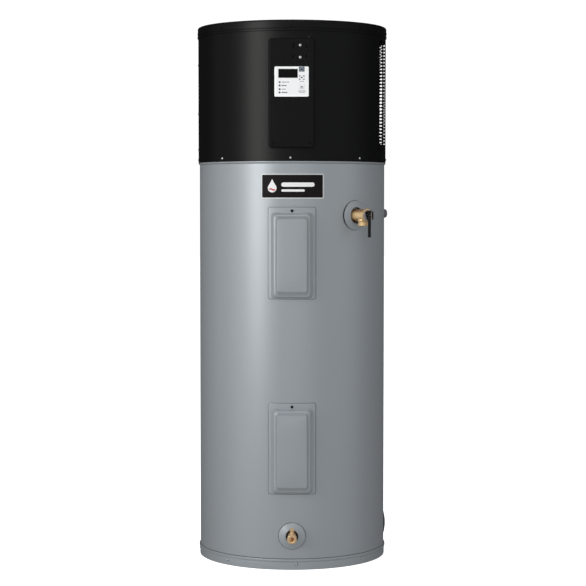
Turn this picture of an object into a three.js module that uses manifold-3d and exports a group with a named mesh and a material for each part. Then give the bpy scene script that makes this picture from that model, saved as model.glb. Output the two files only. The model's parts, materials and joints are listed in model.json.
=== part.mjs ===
// Tank water heater with a heat pump on top (a hybrid electric heater, 50 gallon class).
// Millimetres, +Z up. The origin is on the floor under the tank's axis and the front faces -Y.
// An azimuth is the angle around the tank: 0 at the front, 90 degrees at the right (+X).
import * as THREE from "three";
import { mergeGeometries, mergeVertices } from "three/addons/utils/BufferGeometryUtils.js";
import Module from "manifold-3d";

const wasm = await Module();
wasm.setup();

// ---------- driving dimensions ----------
const GAP = 0.3; // clearance between pieces that touch
const SHEET = 1; // thickness of the painted steel sheets
const FACETS = 50; // flats around every outer sheet
const FACET = 360 / FACETS; // degrees for one flat
const CAP_TOP = 1549.4; // 61 inches
const JACKET_R = 272;
const JACKET_BOTTOM = 2;
const JACKET_TOP = 1148.9;
const SHROUD_R = 275.6;
const SHROUD_BOTTOM = 1155.5;
const SHROUD_TOP = 1530;
const CAP_R = 277.2;
const BASE_R = 273.4;
const BASE_TOP = 31;

const TANK_R = 228;
const TANK_WALL = 2.5;
const TANK_SHOULDER = 1040; // where the top head starts
const TANK_CROWN = 1110; // outside top of the head
const TANK_BOTTOM = 60; // lowest water
const TANK_SIDES = 24;
const FOAM_INNER_R = 246;
const SPUD_R = 22; // threaded ring welded in the tank for a 3/4 inch fitting
const SPUD_BORE = 13.65;
const SPUD_END = 250; // radius from the tank's axis where a spud ends
const THREAD_R = 13.3; // 3/4 inch pipe thread
const SHANK_START = 232; // radius from the axis where a fitting's thread starts

const RELIEF = { az: 41.05, z: 1003 };
const HOT = { az: 110, z: 1007 };
const COLD = { az: 98, z: 85.6 };
const DRAIN = { az: 0, z: 97 };
const ANODE = { x: 60, y: -90 };

const COVER_BOTTOMS = { upper: 768.4, lower: 216.1 };
const COVER_HEIGHT = 257.8;
const COVER_SCREW = 247.8; // height of a cover's screw above its lower edge
const ELEMENT_Z = { upper: 830, lower: 275 };
const THERMOSTAT_Z = { upper: 925, lower: 370 };
const WINDOW_HALF_WIDTH = 50;
const WINDOWS = [[795, 990], [240, 435]]; // jacket openings behind the two covers

const EXHAUST = { from: 64.8, to: 122.4 }; // azimuths of the side grille panel
const REAR_END = 273.6; // azimuth where the rear sheet meets the front sheet
const SLOT = { width: 27.8, height: 6.3, pitch: 9.75, first: 1211, rows: 31 };
const SLOT_COLUMNS = [69, 77.4, 96.6, 105, 113.4]; // azimuths, with a plain strip after the second
const INTAKE = { from: 140.4, columns: 12, width: 12, height: 88, pitch: 104, first: 1252, rows: 3 };

const PANEL = { x0: -66, x1: 63.3, z0: 1192.3, z1: 1496.6, face: -284, bevel: 4.5, corner: 9 };
const PANEL_SCREW_X = 23;
const PANEL_SCREW_Z = [1477.2, 1443.5];
const BEZEL = { x0: -49, x1: 46.6, z0: 1334.2, z1: 1418, face: -286.5, corner: 3.5, thickness: 2.2 };
const DISPLAY = { x0: -37.2, x1: 14.6, z0: 1387.1, z1: 1410 };
const BUTTON = { x: 27.2, width: 15.4, height: 13.4, travel: 1.2 };
const BUTTON_Z = { up: 1410.4, down: 1387, mode: 1360 };
const BOARD_FRONT = -269.5;

const FAN = { z: 1345, radius: 120, face: 222 };
const COMPRESSOR = { x: -90, y: -20, radius: 65, bottom: 1162, top: 1396 };
const ACCUMULATOR = { x: -178, y: 40, radius: 28, bottom: 1200, top: 1350 };
const EVAPORATOR = { half: 195, y0: 132, y1: 170, z0: 1196, z1: 1500 };
const TRAY = { half: 186, y0: 122, y1: 180, z0: 1166, z1: 1192 };
const STUB_Z = 1180;
const FILTER = { half: 164, y0: 186, y1: 196, bottom: 1213, top: 1549 };
const FRAME_BOTTOM = 1205;
const JUNCTION = { x0: 40, x1: 140, y0: -130, y1: -60, bottom: 1462 };
const CONDUIT = { x: 70, y: -95, radius: 11.1 };
const LINE = { r: 239.5, radius: 3, discharge: -60, liquid: -120 }; // copper lines along the tank
const COIL = { inner: 229, outer: 235, bottom: 500, top: 740, turns: 5, height: 16 };

// ---------- finishes: colour, roughness, metalness ----------
const FINISHES = {
  jacket: [0xa9afb4, 0.42, 0.25],
  shroud: [0x1c1d1f, 0.45, 0.2],
  trim: [0x8b9094, 0.5, 0.1],
  dark: [0x232427, 0.5, 0.1],
  plate: [0x15171a, 0.35, 0.1],
  white: [0xf2f3f4, 0.35, 0],
  glass: [0x08090b, 0.12, 0],
  brass: [0xc8a573, 0.32, 0.9],
  steel: [0xb9bcc0, 0.35, 0.9],
  enamel: [0x2e4a5c, 0.5, 0.2],
  foam: [0xe6d9a8, 0.95, 0],
  copper: [0xb87348, 0.3, 0.9],
  alloy: [0xc9ccd0, 0.4, 0.8],
  board: [0x1f5b38, 0.6, 0],
  galvanised: [0x9da2a6, 0.5, 0.7],
};

// ---------- helpers ----------
function toSolid(geometry) {
  const bare = new THREE.BufferGeometry();
  bare.setAttribute("position", geometry.getAttribute("position"));
  bare.setIndex(geometry.index);
  const merged = mergeVertices(bare, 1e-3);
  const vertProperties = merged.getAttribute("position").array;
  const triVerts = new Uint32Array(merged.index.array);
  const solid = new wasm.Manifold(new wasm.Mesh({ numProp: 3, vertProperties, triVerts }));
  if (solid.volume() > 0) return solid;
  return new wasm.Manifold(
    new wasm.Mesh({ numProp: 3, vertProperties, triVerts: triVerts.reverse() }),
  );
}

function toGeometry(solid) {
  const mesh = solid.getMesh();
  const geometry = new THREE.BufferGeometry();
  geometry.setAttribute("position", new THREE.BufferAttribute(mesh.vertProperties, 3));
  geometry.setIndex(new THREE.BufferAttribute(mesh.triVerts, 1));
  geometry.computeVertexNormals();
  return geometry;
}

const join = (...shapes) => toGeometry(shapes.map(toSolid).reduce((whole, next) => whole.add(next)));
const cut = (shape, ...tools) =>
  toGeometry(tools.map(toSolid).reduce((rest, tool) => rest.subtract(tool), toSolid(shape)));

// Pieces that don't touch each other, as one cutting tool.
const together = (shapes) => mergeGeometries(shapes.map((s) => s.toNonIndexed().deleteAttribute("uv")));

// A profile of [radius, height] turned around the vertical axis.
function turned(profile, sides) {
  const closed = profile[0][0] === 0 ? profile : [...profile, profile[0]];
  const points = closed.map(([r, z]) => new THREE.Vector2(r, z));
  return new THREE.LatheGeometry(points, sides).rotateX(Math.PI / 2);
}

// The same, turned around a line that points outwards from the tank (-Y), from [radius, distance].
const turnedOut = (profile, sides) => turned(profile, sides).rotateX(Math.PI / 2);

function block(x0, x1, y0, y1, z0, z1) {
  const box = new THREE.BoxGeometry(x1 - x0, y1 - y0, z1 - z0);
  return box.translate((x0 + x1) / 2, (y0 + y1) / 2, (z0 + z1) / 2);
}

const post = (x, y, z0, z1, radius, sides = 12) =>
  new THREE.CylinderGeometry(radius, radius, z1 - z0, sides)
    .rotateX(Math.PI / 2)
    .translate(x, y, (z0 + z1) / 2);

// A rod that points outwards, from radius r0 to r1 around the tank's axis.
const outRod = (r0, r1, radius, sides = 12) =>
  new THREE.CylinderGeometry(radius, radius, r1 - r0, sides).translate(0, -(r0 + r1) / 2, 0);

const crossRod = (x0, x1, y, z, radius, sides = 10) =>
  new THREE.CylinderGeometry(radius, radius, x1 - x0, sides)
    .rotateZ(Math.PI / 2)
    .translate((x0 + x1) / 2, y, z);

const atAzimuth = (shape, az, z = 0) => shape.rotateZ(THREE.MathUtils.degToRad(az)).translate(0, 0, z);

function onCircle(radius, az) {
  const angle = THREE.MathUtils.degToRad(az);
  return [radius * Math.sin(angle), -radius * Math.cos(angle)];
}

// A stretch of curved sheet between two azimuths, with the same flats as the full shells.
function sheetSector(inner, outer, z0, z1, from, to) {
  const stops = [from];
  for (let k = Math.floor(from / FACET) + 1; k * FACET < to - 0.01; k += 1) stops.push(k * FACET);
  stops.push(to);
  // The end points lie on the flats, which are closer to the axis than the corners.
  const flatRadius = (radius, az) => {
    const offset = THREE.MathUtils.degToRad(az - (Math.floor(az / FACET + 1e-9) + 0.5) * FACET);
    return (radius * Math.cos(Math.PI / FACETS)) / Math.cos(offset);
  };
  const corner = (radius) => (az) => new THREE.Vector2(...onCircle(flatRadius(radius, az), az));
  const outline = [...stops.map(corner(outer)), ...stops.reverse().map(corner(inner))];
  const options = { depth: z1 - z0, bevelEnabled: false };
  return new THREE.ExtrudeGeometry(new THREE.Shape(outline), options).translate(0, 0, z0);
}

// Skins through outlines that have equally many points, closed at both ends.
function loft(outlines) {
  const count = outlines[0].length;
  const last = (outlines.length - 1) * count;
  const index = [];
  for (let start = 0; start < last; start += count) {
    for (let i = 0; i < count; i += 1) {
      const next = (i + 1) % count;
      index.push(start + i, start + next, start + count + next);
      index.push(start + i, start + count + next, start + count + i);
    }
  }
  for (let i = 1; i + 1 < count; i += 1) {
    index.push(0, i + 1, i);
    index.push(last, last + i, last + i + 1);
  }
  const geometry = new THREE.BufferGeometry();
  geometry.setAttribute("position", new THREE.Float32BufferAttribute(outlines.flat(2), 3));
  geometry.setIndex(index);
  return geometry;
}

// An upright rounded rectangle at depth y, as points.
function uprightOutline(x0, x1, z0, z1, radius, y) {
  const shape = roundedShape(x0, x1, z0, z1, radius);
  const points = shape.getPoints(2).slice(0, -1);
  return points.map((p) => [p.x, y, p.y]);
}

function roundedShape(x0, x1, z0, z1, radius) {
  const shape = new THREE.Shape();
  const turn = Math.PI / 2;
  shape.absarc(x1 - radius, z1 - radius, radius, 0, turn);
  shape.absarc(x0 + radius, z1 - radius, radius, turn, 2 * turn);
  shape.absarc(x0 + radius, z0 + radius, radius, 2 * turn, 3 * turn);
  shape.absarc(x1 - radius, z0 + radius, radius, 3 * turn, 4 * turn);
  return shape.closePath();
}

function pipe(points, radius, steps) {
  const section = new THREE.Shape().absarc(0, 0, radius, 0, 2 * Math.PI);
  const path = new THREE.CatmullRomCurve3(points.map((p) => new THREE.Vector3(...p)), false, "centripetal");
  return new THREE.ExtrudeGeometry(section, { extrudePath: path, steps, curveSegments: 3 });
}

const envelope = (radius, z0, z1) => turned([[0, z0], [radius, z0], [radius, z1], [0, z1]], FACETS);

// The jacket's outside as it lies in the frame of a fitting.
const jacketSeat = ({ az, z }) =>
  atAzimuth(envelope(JACKET_R + GAP, z - 60, z + 60).translate(0, 0, -z), -az);

// ---------- outer sheets ----------
function basePan() {
  const bead = BASE_R + 2.2;
  const inside = JACKET_R + 0.4;
  return turned([
    [0, 0], [BASE_R, 0], [BASE_R, BASE_TOP - 6.5], [bead, BASE_TOP - 5], [bead, BASE_TOP - 1.5],
    [BASE_R, BASE_TOP], [inside, BASE_TOP], [inside, 1.5], [0, 1.5],
  ], FACETS);
}

function jacket() {
  const inner = JACKET_R - SHEET;
  const tube = turned([
    [inner, JACKET_BOTTOM], [JACKET_R, JACKET_BOTTOM], [JACKET_R, JACKET_TOP], [inner, JACKET_TOP],
  ], FACETS);
  const hole = (port, radius) => atAzimuth(outRod(255, 285, radius), port.az, port.z);
  return cut(
    tube,
    ...WINDOWS.map(([low, high]) => block(-WINDOW_HALF_WIDTH, WINDOW_HALF_WIDTH, -285, -255, low, high)),
    hole(RELIEF, 20), hole(DRAIN, 17.5), hole(HOT, 16), hole(COLD, 20),
    ...Object.values(COVER_BOTTOMS).map((bottom) => hole({ az: 0, z: bottom + COVER_SCREW }, 2.6)),
  );
}

function jacketTopPan() {
  const floor = JACKET_TOP + GAP;
  const flange = SHROUD_R - SHEET - GAP;
  const pan = turned([
    [0, floor], [JACKET_R, floor], [SHROUD_R, floor + 4], [SHROUD_R, SHROUD_BOTTOM - GAP],
    [flange, SHROUD_BOTTOM - GAP], [flange, 1178], [flange - SHEET, 1178], [flange - SHEET, floor + 1.3],
    [0, floor + 1.3],
  ], FACETS);
  const lineHole = (az) => post(...onCircle(LINE.r, az), 1140, 1160, 6, 8);
  const stubHole = atAzimuth(outRod(250, 290, 12, 12), 180, STUB_Z);
  return cut(pan, lineHole(LINE.discharge), lineHole(LINE.liquid),
    post(ANODE.x, ANODE.y, 1140, 1160, 20), stubHole);
}

function nameplate() {
  return sheetSector(JACKET_R + GAP, JACKET_R + GAP + 0.8, 1049.9, 1120.3, -18.5, 19.3);
}

function elementCover(bottom) {
  const ring = (half, low, high, r, y) => uprightOutline(-half, half, bottom + low, bottom + high, r, y);
  const body = loft([
    ring(62, 1.6, 246.4, 12, -250), ring(62, 1.6, 246.4, 12, -265), ring(56.2, 2.4, 241.6, 9, -273.4),
    ring(51.6, 6.2, 237, 7, -283.4), ring(50.6, 7.2, 236, 6, -284.4), ring(48, 9.8, 233.4, 5, -284.8),
    ring(44.4, 15, 229.4, 4, -288.6), ring(41.8, 20, 225.6, 3, -293.2), ring(40.8, 21, 224.6, 2, -294.2),
  ]);
  const inside = loft([
    ring(57, 5.6, 239, 6, -240), ring(57, 5.6, 239, 6, -264), ring(52, 6.4, 236.6, 5, -273),
    ring(49, 9.4, 233.8, 4, -281.4), ring(46.2, 12.4, 231.2, 4, -283.2), ring(40, 22.4, 223.2, 2, -291.8),
  ]);
  const edge = 14.13;
  const seat = JACKET_R + GAP;
  const flange = sheetSector(seat, seat + 1.2, bottom, bottom + COVER_HEIGHT, -edge, edge);
  const screwHole = outRod(262, 280, 2.6, 8).translate(0, 0, bottom + COVER_SCREW);
  const drum = envelope(JACKET_R + GAP, bottom - 10, bottom + COVER_HEIGHT + 10);
  return cut(join(flange, body), inside, drum, screwHole);
}

// A hex washer-head screw that points outwards, with its head against radius seat.
function hexScrew(seat, reach) {
  return join(
    outRod(seat - reach, seat + 1, 2, 8),
    outRod(seat + 0.3, seat + 1.3, 5.6, 12),
    outRod(seat + 1, seat + 4.3, 4.4, 6),
  );
}

// ---------- shroud around the heat pump ----------
const SEAM = 0.035; // degrees of clearance on each side of a sheet joint

function shroudSheet(from, to) {
  return sheetSector(SHROUD_R - SHEET, SHROUD_R, SHROUD_BOTTOM, SHROUD_TOP, from + SEAM, to - SEAM);
}

function shroudFront() {
  const window = block(PANEL.x0 + 8, PANEL.x1 - 8, -285, -250, PANEL.z0 + 8, PANEL.z1 - 8);
  return cut(shroudSheet(REAR_END - 360, EXHAUST.from), window);
}

function exhaustPanel() {
  const slots = [];
  for (const az of SLOT_COLUMNS) {
    for (let row = 0; row < SLOT.rows; row += 1) {
      const slot = block(-SLOT.width / 2, SLOT.width / 2, -285, -262, -SLOT.height / 2, SLOT.height / 2);
      slots.push(atAzimuth(slot, az, SLOT.first + row * SLOT.pitch));
    }
  }
  return cut(shroudSheet(EXHAUST.from, EXHAUST.to), together(slots));
}

function shroudRear() {
  const slots = [];
  for (let column = 0; column < INTAKE.columns; column += 1) {
    for (let row = 0; row < INTAKE.rows; row += 1) {
      const half = INTAKE.height / 2;
      const slot = block(-INTAKE.width / 2, INTAKE.width / 2, -285, -262, -half, half);
      slots.push(atAzimuth(slot, INTAKE.from + column * FACET, INTAKE.first + row * INTAKE.pitch));
    }
  }
  const stubHole = atAzimuth(outRod(250, 290, 11, 12), 180, STUB_Z);
  return cut(shroudSheet(EXHAUST.to, REAR_END), together(slots), stubHole);
}

function topCap() {
  const bead = CAP_R + 0.7;
  const inner = CAP_R - 1.3;
  const rim = 1515.5;
  const shell = turned([
    [0, CAP_TOP - 1.5], [inner - 5, CAP_TOP - 1.5], [inner, CAP_TOP - 8], [inner, rim], [bead, rim],
    [bead, rim + 6], [CAP_R, rim + 8], [CAP_R, CAP_TOP - 7], [CAP_R - 6, CAP_TOP], [0, CAP_TOP],
  ], FACETS);
  const filterSlot = block(-FILTER.half - 2, FILTER.half + 2, 182, 200, 1530, 1560);
  const wiring = block(JUNCTION.x0 + 4, JUNCTION.x1 - 4, JUNCTION.y0 + 4, JUNCTION.y1 - 4, 1530, 1560);
  return cut(shell, filterSlot, wiring);
}

// ---------- controls ----------
const panelScrewHole = (z) => outRod(270, 295, 2.6, 8).translate(PANEL_SCREW_X, 0, z);

function controlPanel() {
  const { x0, x1, z0, z1, face, bevel, corner } = PANEL;
  const ring = (inset, radius, y) =>
    uprightOutline(x0 + inset, x1 - inset, z0 + inset, z1 - inset, radius, y);
  const body = loft([ring(0, corner, -250), ring(0, corner, face + 5), ring(bevel, corner - 2, face)]);
  const hollow = loft([
    ring(3, corner - 2, -240), ring(3, corner - 2, face + 6), ring(6, corner - 4, face + 2.5),
  ]);
  const drum = envelope(SHROUD_R + GAP, z0 - 10, z1 + 10);
  const opening = block(-44, 41.5, -300, -240, 1339, 1417.6);
  return cut(body, hollow, drum, opening, ...PANEL_SCREW_Z.map(panelScrewHole));
}

const buttonRange = (z, play) => [
  BUTTON.x - BUTTON.width / 2 - play, BUTTON.x + BUTTON.width / 2 + play,
  z - BUTTON.height / 2 - play, z + BUTTON.height / 2 + play,
];

function displayBezel() {
  const { thickness } = BEZEL;
  const back = BEZEL.face + thickness;
  const shape = roundedShape(BEZEL.x0, BEZEL.x1, BEZEL.z0, BEZEL.z1, BEZEL.corner);
  const options = { depth: thickness, bevelEnabled: false, curveSegments: 3 };
  const slab = new THREE.ExtrudeGeometry(shape, options).rotateX(Math.PI / 2).translate(0, back, 0);
  const buttonHole = (z) => {
    const [x0, x1, z0, z1] = buttonRange(z, GAP);
    return block(x0, x1, -300, -270, z0, z1);
  };
  const window = block(DISPLAY.x0, DISPLAY.x1, -300, -270, DISPLAY.z0, DISPLAY.z1);
  return cut(slab, window, ...Object.values(BUTTON_Z).map(buttonHole));
}

function displayWindow() {
  const { x0, x1, z0, z1 } = DISPLAY;
  return block(x0 + GAP, x1 - GAP, BEZEL.face + 0.4, BOARD_FRONT - GAP, z0 + GAP, z1 - GAP);
}

function button(z) {
  const [x0, x1, z0, z1] = buttonRange(z, 0);
  const front = BEZEL.face - 0.6;
  const back = BOARD_FRONT - GAP - BUTTON.travel;
  const key = loft([
    uprightOutline(x0, x1, z0, z1, 2, -283), uprightOutline(x0, x1, z0, z1, 2, front + 0.5),
    uprightOutline(x0 + 0.5, x1 - 0.5, z0 + 0.5, z1 - 0.5, 1.5, front),
  ]);
  return join(key, block(BUTTON.x - 2, BUTTON.x + 2, -283.5, back, z - 2, z + 2));
}

const controlBoard = () => block(-45, 45, BOARD_FRONT, BOARD_FRONT + 1.6, 1330, 1430);

// ---------- tank ----------
// Height of a domed head above its rim, at a radius.
const dome = (radius, r, rise) => rise * Math.sqrt(Math.max(0, 1 - (r / radius) ** 2));

function tankVessel() {
  const inner = TANK_R - TANK_WALL;
  const rise = TANK_CROWN - TANK_SHOULDER;
  const arch = [0.55, 0.85].map((part) => part * TANK_R);
  const innerArch = arch.map((r) => (r * inner) / TANK_R);
  const outside = turned([
    [0, 2], [TANK_R, 2], [TANK_R, TANK_SHOULDER],
    ...arch.toReversed().map((r) => [r, TANK_SHOULDER + dome(TANK_R, r, rise)]), [0, TANK_CROWN],
  ], TANK_SIDES);
  const water = turned([
    [0, TANK_BOTTOM], [inner, TANK_BOTTOM - 20], [inner, TANK_SHOULDER],
    ...innerArch.toReversed().map((r) => [r, TANK_SHOULDER + dome(inner, r, rise - TANK_WALL)]),
    [0, TANK_CROWN - TANK_WALL],
  ], TANK_SIDES);
  const skirt = turned([[0, 0], [inner, 0], [inner, TANK_BOTTOM - 24], [0, TANK_BOTTOM - 4]], TANK_SIDES);
  const ports = [RELIEF, HOT, COLD, DRAIN];
  const elements = Object.values(ELEMENT_Z);
  const rod = ({ az, z }, r0, r1, radius) => atAzimuth(outRod(r0, r1, radius), az, z);
  const shell = cut(outside, water, skirt);
  const fitted = join(
    shell,
    ...ports.map((port) => rod(port, 222, SPUD_END, SPUD_R)),
    ...elements.map((z) => rod({ az: 0, z }, 222, 240, 27)),
    post(ANODE.x, ANODE.y, 1085, 1115, SPUD_R),
  );
  return cut(
    fitted,
    ...ports.map((port) => rod(port, 215, 260, SPUD_BORE)),
    ...elements.map((z) => rod({ az: 0, z }, 215, 260, 17)),
    post(ANODE.x, ANODE.y, 1070, 1120, SPUD_BORE),
  );
}

function foamInsulation() {
  const outer = JACKET_R - SHEET - 0.5;
  const body = turned([
    [FOAM_INNER_R, 40], [outer, 40], [outer, JACKET_TOP - GAP], [0.01, JACKET_TOP - GAP], [0.01, 1120],
    [150, 1106], [FOAM_INNER_R, 1060],
  ], FACETS / 2);
  const port = ({ az, z }) => atAzimuth(outRod(230, 280, 26, 8), az, z);
  const lineHole = (az) => post(...onCircle(LINE.r, az), 1030, 1160, 6, 8);
  return cut(
    body,
    ...WINDOWS.map(([low, high]) => block(-WINDOW_HALF_WIDTH, WINDOW_HALF_WIDTH, -285, -200, low, high)),
    ...[RELIEF, HOT, COLD, DRAIN].map(port),
    lineHole(LINE.discharge), lineHole(LINE.liquid), post(ANODE.x, ANODE.y, 1090, 1160, 25),
  );
}

// Flat aluminium tube wound around the tank: it gives the refrigerant's heat to the water.
function condenserCoil() {
  const steps = TANK_SIDES * COIL.turns + (LINE.discharge - LINE.liquid) / (360 / TANK_SIDES);
  const sections = [];
  for (let step = 0; step <= steps; step += 1) {
    const az = LINE.liquid + (step * 360) / TANK_SIDES;
    const z = COIL.bottom + ((COIL.top - COIL.bottom) * step) / steps;
    const low = z - COIL.height / 2;
    const high = z + COIL.height / 2;
    const near = onCircle(COIL.inner, az);
    const far = onCircle(COIL.outer, az);
    sections.push([[...near, low], [...near, high], [...far, high], [...far, low]]);
  }
  return loft(sections);
}

function anodeRod() {
  const { x, y } = ANODE;
  return join(post(x, y, 320, 1100, 10), post(x, y, 1095, 1116, THREAD_R), post(x, y, 1115.3, 1130, 18, 6));
}

function heatingElement() {
  const leg = (x) => outRod(-60, 240, 4, 8).translate(x, 0, 0);
  const bend = block(-14, 14, 54, 62, -4, 4);
  return join(outRod(230, 242, 16.6), outRod(240.3, 253, 24, 6), leg(-10), leg(10), bend);
}

function thermostat() {
  return join(block(-26, 26, -246, -229, -38, 38), block(-14, 14, -254, -240, 8, 30));
}

// ---------- water fittings (each in the frame of its own port) ----------
function trimRing(port, outer, hole, height) {
  const far = JACKET_R + height;
  const profile = [
    [hole, JACKET_R - 8], [outer, JACKET_R - 8], [outer, JACKET_R + 1], [outer * 0.84, far - 2],
    [outer * 0.68, far], [hole, far],
  ];
  return cut(turnedOut(profile, 24), jacketSeat(port));
}

function hotNipple() {
  return cut(outRod(SHANK_START, 301, 13.35), outRod(SHANK_START - 5, 310, 10.4));
}

function coldSocket() {
  const body = join(outRod(SHANK_START, 254, THREAD_R), outRod(252, 276.5, 19));
  return cut(body, outRod(SHANK_START - 5, 270, 9.5), outRod(256.5, 290, 12.4));
}

const U = (distance) => JACKET_R + distance; // distance out from the jacket
const OUTLET_U = 35.5;

function reliefBody() {
  const body = join(
    outRod(SHANK_START, U(0), THREAD_R), outRod(U(-4), U(50), 18.25), outRod(U(46), U(50), 19.5),
    post(0, -U(OUTLET_U), -30, 0, 14.5, 16),
  );
  return cut(body, outRod(SHANK_START - 5, U(44), 9), post(0, -U(OUTLET_U), -35, 0, 10.5, 16),
    outRod(U(40), U(55), 3.4, 8));
}

const LEVER_PIVOT = { u: 57.5, z: 11, radius: 1.5 };

function reliefBonnet() {
  const y = -U(LEVER_PIVOT.u);
  const plate = new THREE.CylinderGeometry(16.25, 16.25, 3.7, 6)
    .rotateY(Math.PI / 6).translate(0, -U(52.15), 0);
  const ear = (x) => block(x - 1, x + 1, -U(60), -U(53), 3, 14);
  return cut(join(plate, ear(-6.6), ear(6.6)), outRod(U(45), U(56), 3.4, 8),
    crossRod(-10, 10, y, LEVER_PIVOT.z, LEVER_PIVOT.radius + GAP));
}

function reliefLever() {
  const y = -U(LEVER_PIVOT.u);
  return join(
    block(-4.75, 4.75, -U(61.5), -U(58.5), -62, 12.5),
    crossRod(-4.75, 4.75, y, LEVER_PIVOT.z, 2.5),
    crossRod(-8.6, 8.6, y, LEVER_PIVOT.z, LEVER_PIVOT.radius),
    outRod(U(61), U(72), 2, 8),
    block(-2.5, 2.5, -U(74.5), -U(71.5), -11.5, 11.5),
  );
}

const reliefStem = () => outRod(U(32), U(57.7), 3, 8);

const BALL = { r: 300, radius: 9, hole: 5.5 };

function drainBody() {
  const body = join(outRod(SHANK_START, 264, THREAD_R), outRod(262, 330, 13.4),
    post(0, -BALL.r, 0, 17, 8));
  const seat = new THREE.SphereGeometry(BALL.radius + 0.4, 16, 10).translate(0, -BALL.r, 0);
  return cut(body, outRod(SHANK_START - 5, 335, 6), seat, post(0, -BALL.r, 6, 20, 4.8));
}

// Paddle, stem and ball turn as one piece. The paddle lies across the flow when the valve is shut.
function drainHandle() {
  const y = -BALL.r;
  const ball = new THREE.SphereGeometry(BALL.radius, 12, 8).translate(0, y, 0);
  const drilled = cut(ball, crossRod(-12, 12, y, 0, BALL.hole));
  const tip = new THREE.CylinderGeometry(5.7, 5.7, 5, 12).translate(0, y, 21.6);
  return join(drilled, post(0, y, 7.5, 20, 4.5), block(-5.7, 5.7, y - 2.5, y + 2.5, 17.5, 21.6), tip);
}

// ---------- heat pump ----------
function compressorCan() {
  const { radius: r, bottom, top } = COMPRESSOR;
  const can = turned([
    [0, bottom], [r * 0.72, bottom], [r, bottom + 20], [r, top - 42], [r * 0.85, top - 20],
    [r * 0.4, top - 6], [0, top - 4],
  ], 18);
  return join(can, post(0, 0, top - 10, top, 8, 8), block(20, 52, -18, 18, top - 60, top - 8));
}

function compressorPlate() {
  const foot = (angle) => {
    const [x, y] = onCircle(70, angle);
    return post(x, y, 1151, 1161.7, 10);
  };
  return join(block(-78, 78, -78, 78, 1156, 1161.7), foot(45), foot(135), foot(225), foot(315));
}

function accumulatorCan() {
  const { radius: r, bottom, top } = ACCUMULATOR;
  return turned([
    [0, bottom], [r * 0.5, bottom], [r, bottom + 14], [r, top - 14], [r * 0.5, top], [0, top],
  ], 12);
}

function evaporatorCoil() {
  const { half, y0, y1, z0, z1 } = EVAPORATOR;
  const fins = 16;
  const pitch = (2 * half) / fins;
  const outline = [[half, y0], [-half, y0]];
  for (let fin = 0; fin < fins; fin += 1) {
    const x = -half + fin * pitch;
    outline.push([x, y1], [x + pitch * 0.55, y1], [x + pitch * 0.55, y0 + 14], [x + pitch, y0 + 14]);
  }
  const shape = new THREE.Shape(outline.map(([x, y]) => new THREE.Vector2(x, y)));
  return new THREE.ExtrudeGeometry(shape, { depth: z1 - z0, bevelEnabled: false }).translate(0, 0, z0);
}

function fanShroud() {
  const { z, radius, face } = FAN;
  const bore = radius + 3;
  const wall = block(face, face + 3, -140, 140, 1185, 1510);
  const along = (x0, x1, r) => crossRod(x0, x1, 0, z, r, 24);
  const strut = (z0, z1) => block(176, 180, -7, 7, z0, z1);
  const ring = cut(join(wall, along(176, face + 1, bore + 2)), along(170, face + 10, bore));
  return join(ring, strut(z - bore - 1, z - 36), strut(z + 36, z + bore + 1),
    cut(along(172, 180, 46), along(160, 190, 41)));
}

function fanMotor() {
  const body = join(crossRod(118, 171, 0, FAN.z, 40.5, 16), crossRod(170, 176, 0, FAN.z, 12));
  return cut(body, crossRod(140, 190, 0, FAN.z, 4.3));
}

function fanRotor() {
  const blades = 5;
  const parts = [crossRod(184, 214, 0, 0, 38, 20), crossRod(150, 186, 0, 0, 4)];
  for (let n = 0; n < blades; n += 1) {
    const reach = FAN.radius - 38;
    const blade = new THREE.BoxGeometry(2.5, 62, reach).rotateZ(-0.45).translate(199, 0, 35 + reach / 2 - 1);
    parts.push(blade.rotateX((n * 2 * Math.PI) / blades));
  }
  return join(...parts);
}

function condensateTray() {
  const { half, y0, y1, z0, z1 } = TRAY;
  const outside = block(-half, half, y0, y1, z0, z1);
  const inside = block(-half + 2, half - 2, y0 + 2, y1 - 2, z0 + 2, z1 + 5);
  return cut(outside, inside, post(0, 0, -10, 10, 7).rotateX(Math.PI / 2).translate(0, y1, STUB_Z));
}

function condensateStub() {
  const tube = (y0, y1, radius) => outRod(y0, y1, radius, 12).rotateZ(Math.PI);
  const flange = tube(TRAY.y1 + GAP, TRAY.y1 + 3, 13);
  return cut(join(tube(TRAY.y1 + GAP, 298, 10), flange), tube(TRAY.y1 - 5, 305, 7));
}

function filterGuide() {
  const inner = FILTER.half + 1;
  const side = (x) => block(x, x + 6, 182, 200, FRAME_BOTTOM, 1535);
  const sill = block(-inner - 1, inner + 1, 182, 200, FRAME_BOTTOM, FRAME_BOTTOM + 6);
  return join(side(inner), side(-inner - 6), sill);
}

function airFilter() {
  const { half, y0, y1, bottom, top } = FILTER;
  const frame = block(-half, half, y0, y1, bottom, 1536);
  const bay = (half * 2 - 50) / 2;
  const pocket = (x, front) => block(x, x + bay, front ? y0 - 5 : 192.2, front ? 189.8 : y1 + 5,
    bottom + 12, 1522);
  const grip = block(-half, half, y0 - 2, y1 + 2, 1534, top);
  const recess = block(-40, 40, y0 + 1, y1 - 1, top - 8, top + 5);
  return cut(join(frame, grip), recess, pocket(-half + 15, true), pocket(-half + 15, false),
    pocket(10, true), pocket(10, false));
}

const expansionValve = () =>
  join(post(0, 0, 1262, 1290, 9), post(0, 0, 1288, 1300, 14), crossRod(0, 16, 0, 1274, 4));

function junctionBox() {
  const { x0, x1, y0, y1, bottom } = JUNCTION;
  const top = CAP_TOP - 1.5 - GAP;
  const inside = block(x0 + 1.5, x1 - 1.5, y0 + 1.5, y1 - 1.5, bottom + 1.5, top + 5);
  return cut(block(x0, x1, y0, y1, bottom, top), inside);
}

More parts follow.
